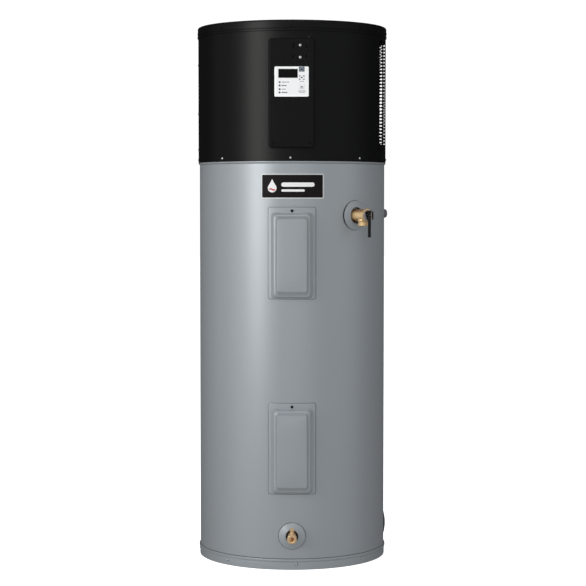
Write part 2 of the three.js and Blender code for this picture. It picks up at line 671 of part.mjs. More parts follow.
function junctionCover() {
  const { x0, x1, y0, y1 } = JUNCTION;
  const plate = block(x0 - 6, x1 + 6, y0 - 6, y1 + 6, CAP_TOP + GAP, CAP_TOP + GAP + 1.5);
  return cut(plate, post(CONDUIT.x, CONDUIT.y, CAP_TOP - 5, CAP_TOP + 5, CONDUIT.radius, 16));
}

// ---------- assembly ----------
const heater = new THREE.Group();

function frameAt({ x = 0, y = 0, z = 0, az = 0 }) {
  const group = new THREE.Group();
  group.position.set(x, y, z);
  group.rotation.z = THREE.MathUtils.degToRad(az);
  heater.add(group);
  return group;
}

function place(name, geometry, finish, parent = heater) {
  const [color, roughness, metalness] = FINISHES[finish];
  const mesh = new THREE.Mesh(geometry, new THREE.MeshStandardMaterial({ color, roughness, metalness }));
  mesh.name = name;
  parent.add(mesh);
}

place("base_pan", basePan(), "jacket");
place("jacket", jacket(), "jacket");
place("jacket_top_pan", jacketTopPan(), "jacket");
place("nameplate", nameplate(), "plate");
place("tank_vessel", tankVessel(), "enamel");
place("foam_insulation", foamInsulation(), "foam");
place("condenser_coil", condenserCoil(), "alloy");
place("anode_rod", anodeRod(), "steel");

for (const level of ["upper", "lower"]) {
  const bottom = COVER_BOTTOMS[level];
  place(level + "_element_cover", elementCover(bottom), "jacket");
  place(level + "_cover_screw", hexScrew(JACKET_R + 1.5, 2.2), "steel", frameAt({ z: bottom + COVER_SCREW }));
  place(level + "_heating_element", heatingElement(), "steel", frameAt({ z: ELEMENT_Z[level] }));
  place(level + "_thermostat", thermostat(), "dark", frameAt({ z: THERMOSTAT_Z[level] }));
}

place("shroud_front", shroudFront(), "shroud");
place("exhaust_panel", exhaustPanel(), "shroud");
place("shroud_rear", shroudRear(), "shroud");
place("top_cap", topCap(), "shroud");

place("control_panel", controlPanel(), "shroud");
place("display_bezel", displayBezel(), "white");
place("display_window", displayWindow(), "glass");
place("control_board", controlBoard(), "board");
for (const [name, z] of Object.entries(BUTTON_Z)) place(name + "_button", button(z), "white");
["upper", "lower"].forEach((level, n) => {
  const frame = frameAt({ x: PANEL_SCREW_X, z: PANEL_SCREW_Z[n] });
  place(level + "_panel_screw", hexScrew(-PANEL.face, 8), "steel", frame);
});

const relief = frameAt(RELIEF);
place("relief_valve_trim_ring", trimRing(RELIEF, 42.5, 22, 8), "trim", relief);
place("relief_valve_body", reliefBody(), "brass", relief);
place("relief_valve_bonnet", reliefBonnet(), "steel", relief);
place("relief_valve_lever", reliefLever(), "dark", relief);
place("relief_valve_stem", reliefStem(), "steel", relief);

const drain = frameAt(DRAIN);
place("drain_valve_trim_ring", trimRing(DRAIN, 38.5, 17.5, 9), "trim", drain);
place("drain_valve_body", drainBody(), "brass", drain);
place("drain_valve_handle", drainHandle(), "brass", drain);

const hot = frameAt(HOT);
place("hot_outlet_trim_ring", trimRing(HOT, 38, 14, 9), "trim", hot);
place("hot_outlet_nipple", hotNipple(), "steel", hot);

const cold = frameAt(COLD);
place("cold_inlet_trim_ring", trimRing(COLD, 38, 19.6, 5.3), "dark", cold);
place("cold_inlet_socket", coldSocket(), "brass", cold);

const compressor = frameAt(COMPRESSOR);
place("compressor", compressorCan(), "dark", compressor);
place("compressor_mount_plate", compressorPlate(), "galvanised", compressor);
place("accumulator", accumulatorCan(), "dark", frameAt(ACCUMULATOR));

place("evaporator_coil", evaporatorCoil(), "alloy");
place("fan_shroud", fanShroud(), "galvanised");
place("fan_motor", fanMotor(), "dark");
place("fan_rotor", fanRotor(), "dark", frameAt({ z: FAN.z }));
place("condensate_tray", condensateTray(), "dark");
place("condensate_drain_stub", condensateStub(), "white", frameAt({ z: STUB_Z }));
place("filter_guide_frame", filterGuide(), "dark");
place("air_filter", airFilter(), "dark");

const [dischargeX, dischargeY] = onCircle(LINE.r, LINE.discharge);
const [liquidX, liquidY] = onCircle(LINE.r, LINE.liquid);
place("expansion_valve", expansionValve(), "brass", frameAt({ x: liquidX, y: liquidY }));
place("liquid_line", pipe([
  [liquidX, liquidY, 508], [liquidX, liquidY, 900], [liquidX, liquidY, 1261.5],
], LINE.radius, 4), "copper");
place("discharge_line", pipe([
  [dischargeX, dischargeY, 748], [dischargeX, dischargeY, 1000], [dischargeX, dischargeY, 1300],
  [dischargeX, dischargeY, 1390], [-165, -85, 1440], [-108, -36, 1442],
  [COMPRESSOR.x, COMPRESSOR.y, 1425], [COMPRESSOR.x, COMPRESSOR.y, COMPRESSOR.top + 1],
], LINE.radius, 20), "copper");
place("suction_line", pipe([
  [-150, EVAPORATOR.y0 - 1, 1470], [-152, 95, 1468], [-170, 50, 1440],
  [ACCUMULATOR.x, ACCUMULATOR.y, 1400], [ACCUMULATOR.x, ACCUMULATOR.y, ACCUMULATOR.top + GAP],
], 6, 12), "copper");
place("accumulator_pipe", pipe([
  [ACCUMULATOR.x, ACCUMULATOR.y, ACCUMULATOR.bottom - GAP], [ACCUMULATOR.x, ACCUMULATOR.y, 1186],
  [-160, 28, 1182], [-147, 19, 1188],
], 5, 8), "copper");

place("junction_box", junctionBox(), "galvanised");
place("junction_box_cover", junctionCover(), "shroud");

export default heater;
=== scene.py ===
import json
import math

import bmesh
import bpy
from mathutils import Matrix, Vector
from mathutils.geometry import delaunay_2d_cdt


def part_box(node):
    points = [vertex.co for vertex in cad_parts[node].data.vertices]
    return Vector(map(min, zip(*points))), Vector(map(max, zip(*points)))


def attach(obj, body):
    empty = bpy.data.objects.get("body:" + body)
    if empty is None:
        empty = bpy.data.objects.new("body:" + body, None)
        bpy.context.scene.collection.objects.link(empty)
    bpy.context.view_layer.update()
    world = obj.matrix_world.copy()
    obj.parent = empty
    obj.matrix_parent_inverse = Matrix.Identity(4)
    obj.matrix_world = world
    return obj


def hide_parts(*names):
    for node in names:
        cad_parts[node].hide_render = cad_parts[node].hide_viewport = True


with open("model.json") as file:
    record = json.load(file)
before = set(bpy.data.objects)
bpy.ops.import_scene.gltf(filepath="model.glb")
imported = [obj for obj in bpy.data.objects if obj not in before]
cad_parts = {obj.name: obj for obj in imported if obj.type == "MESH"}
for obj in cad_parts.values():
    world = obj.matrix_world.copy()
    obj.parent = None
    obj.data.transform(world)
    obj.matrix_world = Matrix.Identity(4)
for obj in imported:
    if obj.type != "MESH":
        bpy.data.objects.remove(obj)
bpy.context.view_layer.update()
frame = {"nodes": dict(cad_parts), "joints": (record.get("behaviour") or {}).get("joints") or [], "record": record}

# Everything is in metres, and numbers multiplied by MM are millimetres. An azimuth is the angle around
# the tank in degrees: 0 at the front (-Y) and 90 at the right (+X).
MM = 0.001
BODY = "heater"

# ---------- places, from the frame ----------
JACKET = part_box("jacket")
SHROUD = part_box("shroud_front")
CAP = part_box("top_cap")
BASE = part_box("base_pan")
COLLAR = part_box("jacket_top_pan")
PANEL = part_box("control_panel")
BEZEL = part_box("display_bezel")
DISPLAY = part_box("display_window")
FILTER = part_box("air_filter")
JACKET_R = -JACKET[0].y
SHROUD_R = -SHROUD[0].y
CAP_BEAD_R = -CAP[0].y
CAP_R = CAP_BEAD_R - 0.7 * MM
BASE_BEAD_R = -BASE[0].y
BASE_R = BASE_BEAD_R - 2.2 * MM
MOUNTS = {m["name"]: m for m in frame["record"]["mounts"]}

# ---------- sizes used more than once ----------
SHEET = 1.0 * MM          # thickness of the jacket, collar and shroud
AROUND = 256              # segments of what goes round the whole tank
SCREW_STEP = 45           # degrees between the screws of a ring
UPPER_SCREW_AZ = -0.9     # first screw of the rings on the shroud and cap
BASE_SCREW_AZ = 2.5
SEAM_GAP = 0.035          # degrees from a sheet's edge to the middle of its seam
COVER_SCREWS = ((-52.7, 1205.5), (50.4, 1205.5))      # x, z in mm on the control panel
BRACKET_X = 23            # mm
BRACKET_SCREWS = (("upper", 1477.2), ("lower", 1443.5))
LABEL_ROWS = (1374.5, 1365.1, 1354.8, 1345.9)         # heights in mm of the four modes on the display
HINGE_OUT, HINGE_UP = 57.5, 11                        # relief lever's pin from the jacket and valve axis


def azimuth_of(axis):
    return math.degrees(math.atan2(axis[0], -axis[1]))


def middle(node):
    low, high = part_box(node)
    return (low + high) / 2


RELIEF_AZ = azimuth_of(next(j for j in frame["joints"] if j["name"] == "relief_stem_pull")["axis"])
HOT_AZ = azimuth_of(MOUNTS["hot_outlet_face"]["axis"])
COLD_AZ = azimuth_of(MOUNTS["cold_inlet_face"]["axis"])
RELIEF_Z = middle("relief_valve_stem").z
HOT_Z = middle("hot_outlet_nipple").z
COLD_Z = middle("cold_inlet_socket").z
DRAIN_Z = middle("drain_valve_trim_ring").z

# ---------- materials ----------


def shader(name):
    material = bpy.data.materials.new(name)
    material.use_nodes = True
    return material, material.node_tree.nodes, material.node_tree.links


def noise(nodes, links, scale, detail=2.0, roughness=0.5, stretch=None):
    """Procedural noise in object coordinates, in features per metre."""
    place = nodes.new("ShaderNodeTexCoord")
    texture = nodes.new("ShaderNodeTexNoise")
    texture.inputs["Scale"].default_value = scale
    texture.inputs["Detail"].default_value = detail
    texture.inputs["Roughness"].default_value = roughness
    if stretch is None:
        links.new(place.outputs["Object"], texture.inputs["Vector"])
    else:
        mapping = nodes.new("ShaderNodeMapping")
        mapping.inputs["Scale"].default_value = stretch
        links.new(place.outputs["Object"], mapping.inputs["Vector"])
        links.new(mapping.outputs["Vector"], texture.inputs["Vector"])
    return texture.outputs["Fac"]


def spread(nodes, links, fac, low, high, start=0.3, end=0.7):
    """Turns a value between start and end, such as noise, into the range low to high."""
    ramp = nodes.new("ShaderNodeMapRange")
    ramp.inputs["From Min"].default_value = start
    ramp.inputs["From Max"].default_value = end
    ramp.inputs["To Min"].default_value = low
    ramp.inputs["To Max"].default_value = high
    links.new(fac, ramp.inputs["Value"])
    return ramp.outputs["Result"]


def blended(nodes, links, fac, first, second):
    """Mixes two colours; the first may come from another node."""
    mix = nodes.new("ShaderNodeMix")
    mix.data_type = "RGBA"
    if isinstance(first, tuple):
        mix.inputs["A"].default_value = (*first, 1)
    else:
        links.new(first, mix.inputs["A"])
    mix.inputs["B"].default_value = (*second, 1)
    links.new(fac, mix.inputs["Factor"])
    return mix.outputs["Result"]


def add_bump(nodes, links, bsdf, layers):
    """Stacks bumps: each layer is (height output, strength, distance)."""
    normal = None
    for height, strength, distance in layers:
        bump = nodes.new("ShaderNodeBump")
        bump.inputs["Strength"].default_value = strength
        bump.inputs["Distance"].default_value = distance
        links.new(height, bump.inputs["Height"])
        if normal is not None:
            links.new(normal, bump.inputs["Normal"])
        normal = bump.outputs["Normal"]
    links.new(normal, bsdf.inputs["Normal"])


MATERIALS = {}


def finish(
    name, color, variation, rough, metallic, grain, grain_depth=0.05, grain_strength=0.25,
    wave=9.0, wave_strength=0.04, coat=0.0, specular=0.5, stretch=None,
):
    """A surface with slight colour drift, uneven gloss, fine grain (depth in mm) and a gentle wave."""
    material, nodes, links = shader(name)
    bsdf = nodes["Principled BSDF"]
    bsdf.inputs["Metallic"].default_value = metallic
    bsdf.inputs["Coat Weight"].default_value = coat
    bsdf.inputs["Coat Roughness"].default_value = 0.12
    bsdf.inputs["Specular IOR Level"].default_value = specular
    broad = noise(nodes, links, wave, 3.0)
    fine = noise(nodes, links, grain, 3.0, 0.6, stretch)
    darker = tuple(c * (1 - variation) for c in color)
    lighter = tuple(min(1.0, c * (1 + variation)) for c in color)
    links.new(blended(nodes, links, broad, darker, lighter), bsdf.inputs["Base Color"])
    links.new(spread(nodes, links, fine, *rough), bsdf.inputs["Roughness"])
    add_bump(nodes, links, bsdf, [
        (broad, wave_strength, 1.0 * MM),
        (fine, grain_strength, grain_depth * MM),
    ])
    MATERIALS[name] = material
    return material


def metal(name, color, rough, stretch=(1, 1, 1), grain=1400.0, variation=0.08, metallic=1.0):
    """Machined or drawn metal: fine lines along one direction and a little tarnish."""
    return finish(
        name, color, variation, rough, metallic, grain, 0.02, 0.35, 60.0, 0.03, stretch=stretch,
    )


def painted_shade_up_down(material, color):
    """Darkens the faces that look up or down with painted brown shade, so that a lying barrel shows a bright
    middle band.
    """
    nodes, links = material.node_tree.nodes, material.node_tree.links
    bsdf = nodes["Principled BSDF"]
    bright = bsdf.inputs["Base Color"].links[0].from_socket
    way = nodes.new("ShaderNodeSeparateXYZ")
    links.new(nodes.new("ShaderNodeNewGeometry").outputs["Normal"], way.inputs["Vector"])
    steep = nodes.new("ShaderNodeMath")
    steep.operation = "ABSOLUTE"
    links.new(way.outputs["Z"], steep.inputs[0])
    amount = spread(nodes, links, steep.outputs["Value"], 0.0, 1.0)
    links.new(blended(nodes, links, amount, bright, color), bsdf.inputs["Base Color"])


# Name, colour, colour drift, roughness range, metallic, grains per metre, grain depth and strength,
# waves per metre and wave strength.
finish("jacket_paint", (0.45, 0.485, 0.515), 0.02, (0.35, 0.40), 0.5, 1100.0, 0.03, 0.12, 3.0, 0.02)
finish("shroud_paint", (0.0024, 0.0025, 0.0026), 0.06, (0.36, 0.42), 0.0, 1000.0, 0.04, 0.18, 3.0,
                0.02, specular=0.42)
finish("panel_plastic", (0.0046, 0.0046, 0.0046), 0.05, (0.44, 0.52), 0.0, 2200.0, 0.05, 0.35,
                specular=0.22)
finish("dark_plastic", (0.010, 0.010, 0.011), 0.1, (0.4, 0.52), 0.0, 1800.0, 0.05, 0.3)
finish("plate_black", (0.010, 0.0075, 0.008), 0.1, (0.4, 0.5), 0.0, 1500.0, 0.02, 0.1, specular=0.15)
metal("plate_silver", (0.66, 0.67, 0.68), (0.4, 0.5), (1, 1, 8), metallic=0.3)
finish("mark_white", (0.80, 0.80, 0.80), 0.02, (0.35, 0.45), 0.0, 1500.0)
finish("mark_red", (0.50, 0.015, 0.02), 0.05, (0.3, 0.4), 0.0, 1500.0)
finish("white_plastic", (0.95, 0.955, 0.96), 0.012, (0.28, 0.36), 0.0, 1600.0, 0.02, 0.1, coat=0.2)
finish("field_film", (0.86, 0.87, 0.875), 0.015, (0.4, 0.5), 0.0, 1600.0, 0.02, 0.15)
finish("key_grey", (0.21, 0.25, 0.29), 0.04, (0.35, 0.45), 0.0, 1600.0)
finish("mark_grey", (0.22, 0.23, 0.24), 0.08, (0.4, 0.5), 0.0, 1600.0)
finish("mark_dark", (0.002, 0.002, 0.002), 0.1, (0.4, 0.5), 0.0, 1600.0)
finish("lcd_glass", (0.006, 0.006, 0.0065), 0.1, (0.1, 0.16), 0.0, 700.0, 0.01, 0.04, specular=0.12)
metal("brass", (0.92, 0.64, 0.37), (0.2, 0.3), (1, 1, 6), metallic=0.6)
# The relief valve's brass gets painted shade on its upward and downward faces, leaving a bright middle band.
painted_shade_up_down(metal("valve_brass", (1.0, 0.68, 0.36), (0.22, 0.30), (1, 1, 6), metallic=0.5), (0.34, 0.18, 0.08))
finish("trim_grey", (0.36, 0.39, 0.415), 0.03, (0.36, 0.44), 0.25, 1500.0, 0.03, 0.15)
metal("brass_dark", (0.30, 0.18, 0.09), (0.35, 0.5))
metal("steel", (0.62, 0.63, 0.65), (0.22, 0.38), (1, 1, 5))
finish("zinc", (0.93, 0.94, 0.95), 0.06, (0.16, 0.26), 0.7, 1400.0, 0.02, 0.25)
# A near-black finish for one screw, and for the dark rings and sleeves that paint shadow around fittings, covers
# and screw heads.
finish("dark_rubber_and_painted_shade", (0.018, 0.019, 0.021), 0.1, (0.5, 0.62), 0.0, 1500.0, 0.05, 0.3)
# A dark grey that paints the shadow line where the jacket meets the base.
finish("shadow_band_grey", (0.10, 0.105, 0.11), 0.05, (0.5, 0.62), 0.0, 1500.0)
metal("steel_dark", (0.22, 0.22, 0.235), (0.3, 0.45), (1, 1, 5), metallic=0.4)
metal("bonnet_steel", (0.30, 0.305, 0.31), (0.35, 0.5), (1, 1, 5), metallic=0.3)
metal("black_screw", (0.03, 0.03, 0.032), (0.3, 0.45))
finish("tank_enamel", (0.05, 0.10, 0.14), 0.12, (0.3, 0.5), 0.0, 300.0, 0.1, 0.4, 20.0, 0.1)
finish("foam", (0.72, 0.62, 0.36), 0.12, (0.85, 0.95), 0.0, 260.0, 0.8, 0.8, 30.0, 0.3)
metal("copper", (0.75, 0.36, 0.20), (0.2, 0.38), (1, 1, 0.4), 500.0, 0.18)
metal("bare_aluminium", (0.72, 0.73, 0.75), (0.28, 0.45), (0.2, 1, 1), 900.0)
finish("circuit_board", (0.02, 0.13, 0.06), 0.15, (0.3, 0.5), 0.0, 700.0, 0.05, 0.4)
finish("galvanised", (0.50, 0.52, 0.54), 0.16, (0.3, 0.55), 0.9, 120.0, 0.05, 0.25, 70.0, 0.08)

# ---------- making pieces ----------


def add_object(name, data):
    made = bpy.data.objects.new(name, data)
    bpy.context.scene.collection.objects.link(made)
    return made


def keep(name, mesh, material, body=BODY, nodes=()):
    """Adds a mesh to the scene as a piece that rides on a body and may stand for CAD nodes."""
    mesh.name = name
    piece = add_object(name, mesh)
    mesh.materials.append(MATERIALS[material])
    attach(piece, body)
    if nodes:
        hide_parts(*nodes)
    return piece


def plain_mesh(bm, smooth=True):
    """A mesh from bmesh, with its faces turned outwards."""
    bmesh.ops.recalc_face_normals(bm, faces=bm.faces)
    mesh = bpy.data.meshes.new("made")
    bm.to_mesh(mesh)
    bm.free()
    for polygon in mesh.polygons:
        polygon.use_smooth = smooth
    return mesh


def mesh_of(shapes, sharp_degrees=35):
    """A mesh from one bmesh shape or a list of them, smooth except over its sharp edges."""
    bm = joined(shapes) if isinstance(shapes, list) else shapes
    bmesh.ops.remove_doubles(bm, verts=bm.verts, dist=1e-7)
    mesh = plain_mesh(bm)
    mesh.set_sharp_from_angle(angle=math.radians(sharp_degrees))
    return mesh


def joined(parts):
    """Several bmesh shapes as one."""
    whole = parts[0]
    for part in parts[1:]:
        copy = bpy.data.meshes.new("part")
        part.to_mesh(copy)
        whole.from_mesh(copy)
        part.free()
        bpy.data.meshes.remove(copy)
    return whole


def moved(bm, matrix):
    bmesh.ops.transform(bm, matrix=matrix, verts=bm.verts)
    return bm


def skin(rings, closed_ends=True):
    """Quads between rings of equally many points, with the ends closed by flat faces."""
    bm = bmesh.new()
    rows = [[bm.verts.new(p) for p in ring] for ring in rings]
    for row, after in zip(rows, rows[1:]):
        for i in range(len(row)):
            k = (i + 1) % len(row)
            bm.faces.new((row[i], row[k], after[k], after[i]))
    if closed_ends:
        bm.faces.new(rows[0])
        bm.faces.new(rows[-1])
    return bm


def revolved(profile, segments):
    """A profile of (radius, height) in metres around Z. A closed loop gives a ring."""
    bm = bmesh.new()
    rows = []
    for step in range(segments):
        angle = 2 * math.pi * step / segments
        c, s = math.cos(angle), math.sin(angle)
        rows.append([bm.verts.new((r * s, -r * c, z)) for r, z in profile])
    count = len(profile)
    for step in range(segments):
        row, after = rows[step], rows[(step + 1) % segments]
        for i in range(count):
            k = (i + 1) % count
            if profile[i][0] < 1e-9 and profile[k][0] < 1e-9:
                continue
            bm.faces.new((row[i], row[k], after[k], after[i]))
    bmesh.ops.remove_doubles(bm, verts=bm.verts, dist=1e-7)
    return bm


def rounded(points, radius, steps=4):
    """Rounds the corners of a 2-D outline. The radius is in mm, one number or one for each corner."""
    count = len(points)
    radii = radius if isinstance(radius, (list, tuple)) else [radius] * count
    result = []
    for i, (x, y) in enumerate(points):
        r = radii[i] * MM
        if r <= 0:
            result.append((x, y))
            continue
        corner = Vector((x, y))
        before = (Vector(points[i - 1]) - corner).normalized()
        after = (Vector(points[(i + 1) % count]) - corner).normalized()
        half = before.angle(after) / 2
        reach = r / math.tan(half)
        start, end = corner + before * reach, corner + after * reach
        centre = corner + (before + after).normalized() * (r / math.sin(half))
        a0 = math.atan2(start.y - centre.y, start.x - centre.x)
        a1 = math.atan2(end.y - centre.y, end.x - centre.x)
        turn = (a1 - a0 + math.pi) % (2 * math.pi) - math.pi
        for step in range(steps + 1):
            a = a0 + turn * step / steps
            result.append((centre.x + r * math.cos(a), centre.y + r * math.sin(a)))
    return result


def mm(points):
    """2-D points given in millimetres."""
    return [(a * MM, b * MM) for a, b in points]


def around(box, grow, up=2):
    """The outline of a box seen along Y, or along Z with up=1, grown by the same amount on every side."""
    low, high = box
    return rectangle(low.x - grow, high.x + grow, low[up] - grow, high[up] + grow)


def slot_at(x, z, half_width, half_height, radius, steps=5):
    """A round-ended hole around a middle point."""
    return rounded(rectangle(x - half_width, x + half_width, z - half_height, z + half_height), radius, steps)


def rectangle(x0, x1, y0, y1):
    return [(x0, y0), (x1, y0), (x1, y1), (x0, y1)]


def outward(az, z, radius=0.0):
    """The frame of a fitting: its -Y axis points away from the tank at that azimuth and height."""
    turn = Matrix.Rotation(math.radians(az), 4, "Z")
    return Matrix.Translation((0, 0, z)) @ turn @ Matrix.Translation((0, -radius, 0))


# Turns a shape made around +Z so that its top points outwards (-Y).
FACING = Matrix.Rotation(math.radians(90), 4, "X")


def on_side(shape, az, z, radius):
    """Stands a shape made on z = 0 on the tank's side, pointing outwards."""
    return moved(shape, outward(az, z, radius) @ FACING)


def inside(point, loop):
    x, y = point
    crossings = False
    for (x0, y0), (x1, y1) in zip(loop, loop[1:] + loop[:1]):
        if (y0 > y) != (y1 > y) and x < (x1 - x0) * (y - y0) / (y1 - y0) + x0:
            crossings = not crossings
    return crossings


def flat_sheet(outline, holes, columns=()):
    """Triangles of a flat outline with holes, also split along vertical lines at the given places."""
    points, edges = [], []

    def add(loop):
        start = len(points)
        points.extend(Vector(p) for p in loop)
        edges.extend((start + i, start + (i + 1) % len(loop)) for i in range(len(loop)))

    add(outline)
    for hole in holes:
        add(hole)
    low = min(p[1] for p in outline)
    high = max(p[1] for p in outline)
    for x in columns:
        points.extend((Vector((x, low)), Vector((x, high))))
        edges.append((len(points) - 2, len(points) - 1))
    verts, _, faces, *_ = delaunay_2d_cdt(points, edges, [], 0, 1e-7)
    boxes = [(min(p[0] for p in h), max(p[0] for p in h), min(p[1] for p in h), max(p[1] for p in h), h)
             for h in holes]
    kept = []
    for face in faces:
        centre = sum((verts[i] for i in face), Vector((0, 0))) / len(face)
        if not inside(centre, outline):
            continue
        near = [h for x0, x1, y0, y1, h in boxes if x0 < centre.x < x1 and y0 < centre.y < y1]
        if not any(inside(centre, hole) for hole in near):
            kept.append(face)
    return verts, kept


def thick(verts, faces, front, back):
    """A closed body from flat triangles: front and back map a 2-D point to 3-D."""
    bm = bmesh.new()
    used = sorted({i for face in faces for i in face})
    fore = {i: bm.verts.new(front(verts[i])) for i in used}
    aft = {i: bm.verts.new(back(verts[i])) for i in used}
    border = {}
    for face in faces:
        bm.faces.new([fore[i] for i in face])
        bm.faces.new([aft[i] for i in reversed(face)])
        for i, a in enumerate(face):
            b = face[(i + 1) % len(face)]
            if (b, a) in border:
                del border[(b, a)]
            else:
                border[(a, b)] = True
    for a, b in border:
        bm.faces.new((fore[b], fore[a], aft[a], aft[b]))
    return bm


def bent_sheet(outline, holes, radius, thickness, step=2.5):
    """Curved sheet around the tank from a flat outline of (arc length, height), split into columns so that it
    follows the curve.
    """
    width = math.radians(step) * radius
    low = min(p[0] for p in outline)
    high = max(p[0] for p in outline)
    first = math.ceil(low / width + 1e-6)
    last = math.floor(high / width - 1e-6)
    columns = [k * width for k in range(first, last + 1)]
    verts, faces = flat_sheet(outline, holes, columns)

    def at(depth):
        def place(p):
            angle = p.x / radius
            return ((radius - depth) * math.sin(angle), -(radius - depth) * math.cos(angle), p.y)
        return place

    return thick(verts, faces, at(0.0), at(thickness))


def radial_normals(mesh):
    """Gives the curved faces of a sheet around the tank normals that point straight out or in."""
    normals = []
    for polygon in mesh.polygons:
        flat = polygon.normal
        for index in polygon.vertices:
            x, y, _ = mesh.vertices[index].co
            out = Vector((x, y, 0)).normalized()
            facing = out.dot(flat)
            normals.append(out * math.copysign(1, facing) if abs(facing) > 0.97 else flat.copy())
    mesh.normals_split_custom_set(normals)
    return mesh


def sheet_mesh(outline, holes, radius, thickness, step=2.5):
    return radial_normals(plain_mesh(bent_sheet(outline, holes, radius, thickness, step)))


def arc(degrees, radius):
    return math.radians(degrees) * radius


def circle(x, y, r, count=32):
    return [(x + r * math.cos(2 * math.pi * i / count), y + r * math.sin(2 * math.pi * i / count))
            for i in range(count)]


def hexagon(r, z):
    return [(r * math.cos(a), r * math.sin(a), z) for a in (math.pi / 3 * k for k in range(6))]


# ---------- screws ----------


def hex_screw(size):
    """Hex washer-head screw standing on z = 0, pointing up, 7.8 mm across flats at size 1."""
    foot = [(0, 0), (5.6, 0), (5.7, 0.5), (5.2, 1.1), (4.2, 1.25), (0, 1.25)]
    head = [(0.9, 4.5), (4.3, 4.5), (4.9, 4.0), (5.0, 3.6)]
    rings = [hexagon(r * MM * size, z * MM * size) for z, r in head]
    return joined([revolved([(r * MM * size, z * MM * size) for r, z in foot], 32), skin(rings)])


def low_screw(size):
    """A hexagon head pressed nearly flush."""
    return moved(hex_screw(size), Matrix.Diagonal((1, 1, 0.4, 1)))


def pan_head(size):
    """Domed screw head standing on z = 0, 7.8 mm across at size 1."""
    profile = [(0, 0), (3.9, 0), (3.9, 0.8), (3.6, 1.6), (2.9, 2.3), (1.7, 2.8), (0, 3.0)]
    return revolved([(r * MM * size, (z + 0.6) * MM * size) for r, z in profile], 32)


# A dark washer under a screw head, as a painted shadow ring around the head.
def shade_washer(size):
    profile = ((0, 0), (5.3, 0), (5.3, 0.5), (5.0, 0.8), (0, 0.8))
    return revolved([(r * MM * size, z * MM * size) for r, z in profile], 32)


def screw_ring(name, radius, z, first, material, size, head):
    """Screws around the heater at one height in mm, as one piece."""
    parts = []
    for k in range(360 // SCREW_STEP):
        az = first + k * SCREW_STEP
        parts.append(on_side(head(size), az, z * MM, radius))
    return keep(name, mesh_of(parts), material)


# ---------- outer sheets ----------
# Azimuth, height and radius in mm of the jacket's round holes: relief valve, drain, hot and cold water.
PORTS = [(RELIEF_AZ, RELIEF_Z, 20), (0.0, DRAIN_Z, 17.5), (HOT_AZ, HOT_Z, 16), (COLD_AZ, COLD_Z, 20)]
COVERS = ["upper_element_cover", "lower_element_cover"]


def make_base():
    r, bead, top = BASE_R, BASE_BEAD_R, BASE[1].z
    inner = JACKET_R + 0.4 * MM
    outline = rounded([
        (0, 0), (r, 0), (r, top - 9 * MM), (r - 0.8 * MM, top - 8.6 * MM), (r - 0.8 * MM, top - 7.4 * MM),
        (bead, top - 6.4 * MM), (bead, top - 0.8 * MM), (inner, top), (inner, 1.5 * MM), (0, 1.5 * MM),
    ], [0, 1.6, 0.2, 0.2, 0.2, 0.8, 1.6, 0.2, 0.5, 0], 5)
    keep("base_ring", mesh_of(revolved(outline, AROUND)), "jacket_paint", nodes=["base_pan"])
    # A thin dark band where the jacket meets the base ring is a painted shadow line.
    low, high = inner - 0.2 * MM, inner + 1.0 * MM
    shadow_band = [(low, top - 1 * MM), (high, top - 1 * MM), (high, top + 0.7 * MM), (low, top + 1.3 * MM)]
    keep("base_shadow_band", mesh_of(revolved(shadow_band, AROUND)), "shadow_band_grey")


def make_jacket():
    low, high = JACKET[0].z, JACKET[1].z
    half = arc(179.94, JACKET_R)
    holes = [circle(arc(az, JACKET_R), z, r * MM) for az, z, r in PORTS]
    for cover in COVERS:
        bottom, top = (corner.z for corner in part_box(cover))
        holes.append(rounded(rectangle(-50 * MM, 50 * MM, bottom + 26 * MM, top - 36 * MM), 5))
    mesh = sheet_mesh(rectangle(-half, half, low, high), holes, JACKET_R, SHEET)
    keep("jacket_skin", mesh, "jacket_paint", nodes=["jacket"])
    # The jacket's edges meet at the back under a riveted strip.
    foot = BASE[1].z
    strip = bent_sheet(rounded(rectangle(-12 * MM, 12 * MM, foot + 2 * MM, high - 2 * MM), 2), [],
                       JACKET_R + 0.9 * MM, 0.8 * MM)
    parts = [moved(strip, Matrix.Rotation(math.pi, 4, "Z"))]
    count, from_end = 8, 60 * MM
    for k in range(count):
        z = foot + from_end + k * (high - foot - 2 * from_end) / (count - 1)
        rivet = revolved(mm([(0, 0), (3.4, 0), (3.2, 0.7), (2.2, 1.3), (0, 1.6)]), 20)
        parts.append(on_side(rivet, 180, z, JACKET_R + 0.8 * MM))
    keep("jacket_seam", mesh_of(parts), "jacket_paint")


def make_collar():
    floor, top = COLLAR[0].z, COLLAR[1].z
    edge = SHROUD[0].z - 0.3 * MM
    flange = SHROUD_R - 1.3 * MM
    profile = rounded([
        (0, floor), (JACKET_R - 0.4 * MM, floor), (SHROUD_R, floor + 3.2 * MM), (SHROUD_R, edge),
        (flange, edge), (flange, top), (flange - SHEET, top), (flange - SHEET, floor + 1.3 * MM),
        (0, floor + 1.3 * MM),
    ], [0, 1.0, 1.2, 0.6, 0.3, 0.3, 0.3, 0.5, 0])
    keep("deck_collar", mesh_of(revolved(profile, AROUND)), "jacket_paint", nodes=["jacket_top_pan"])


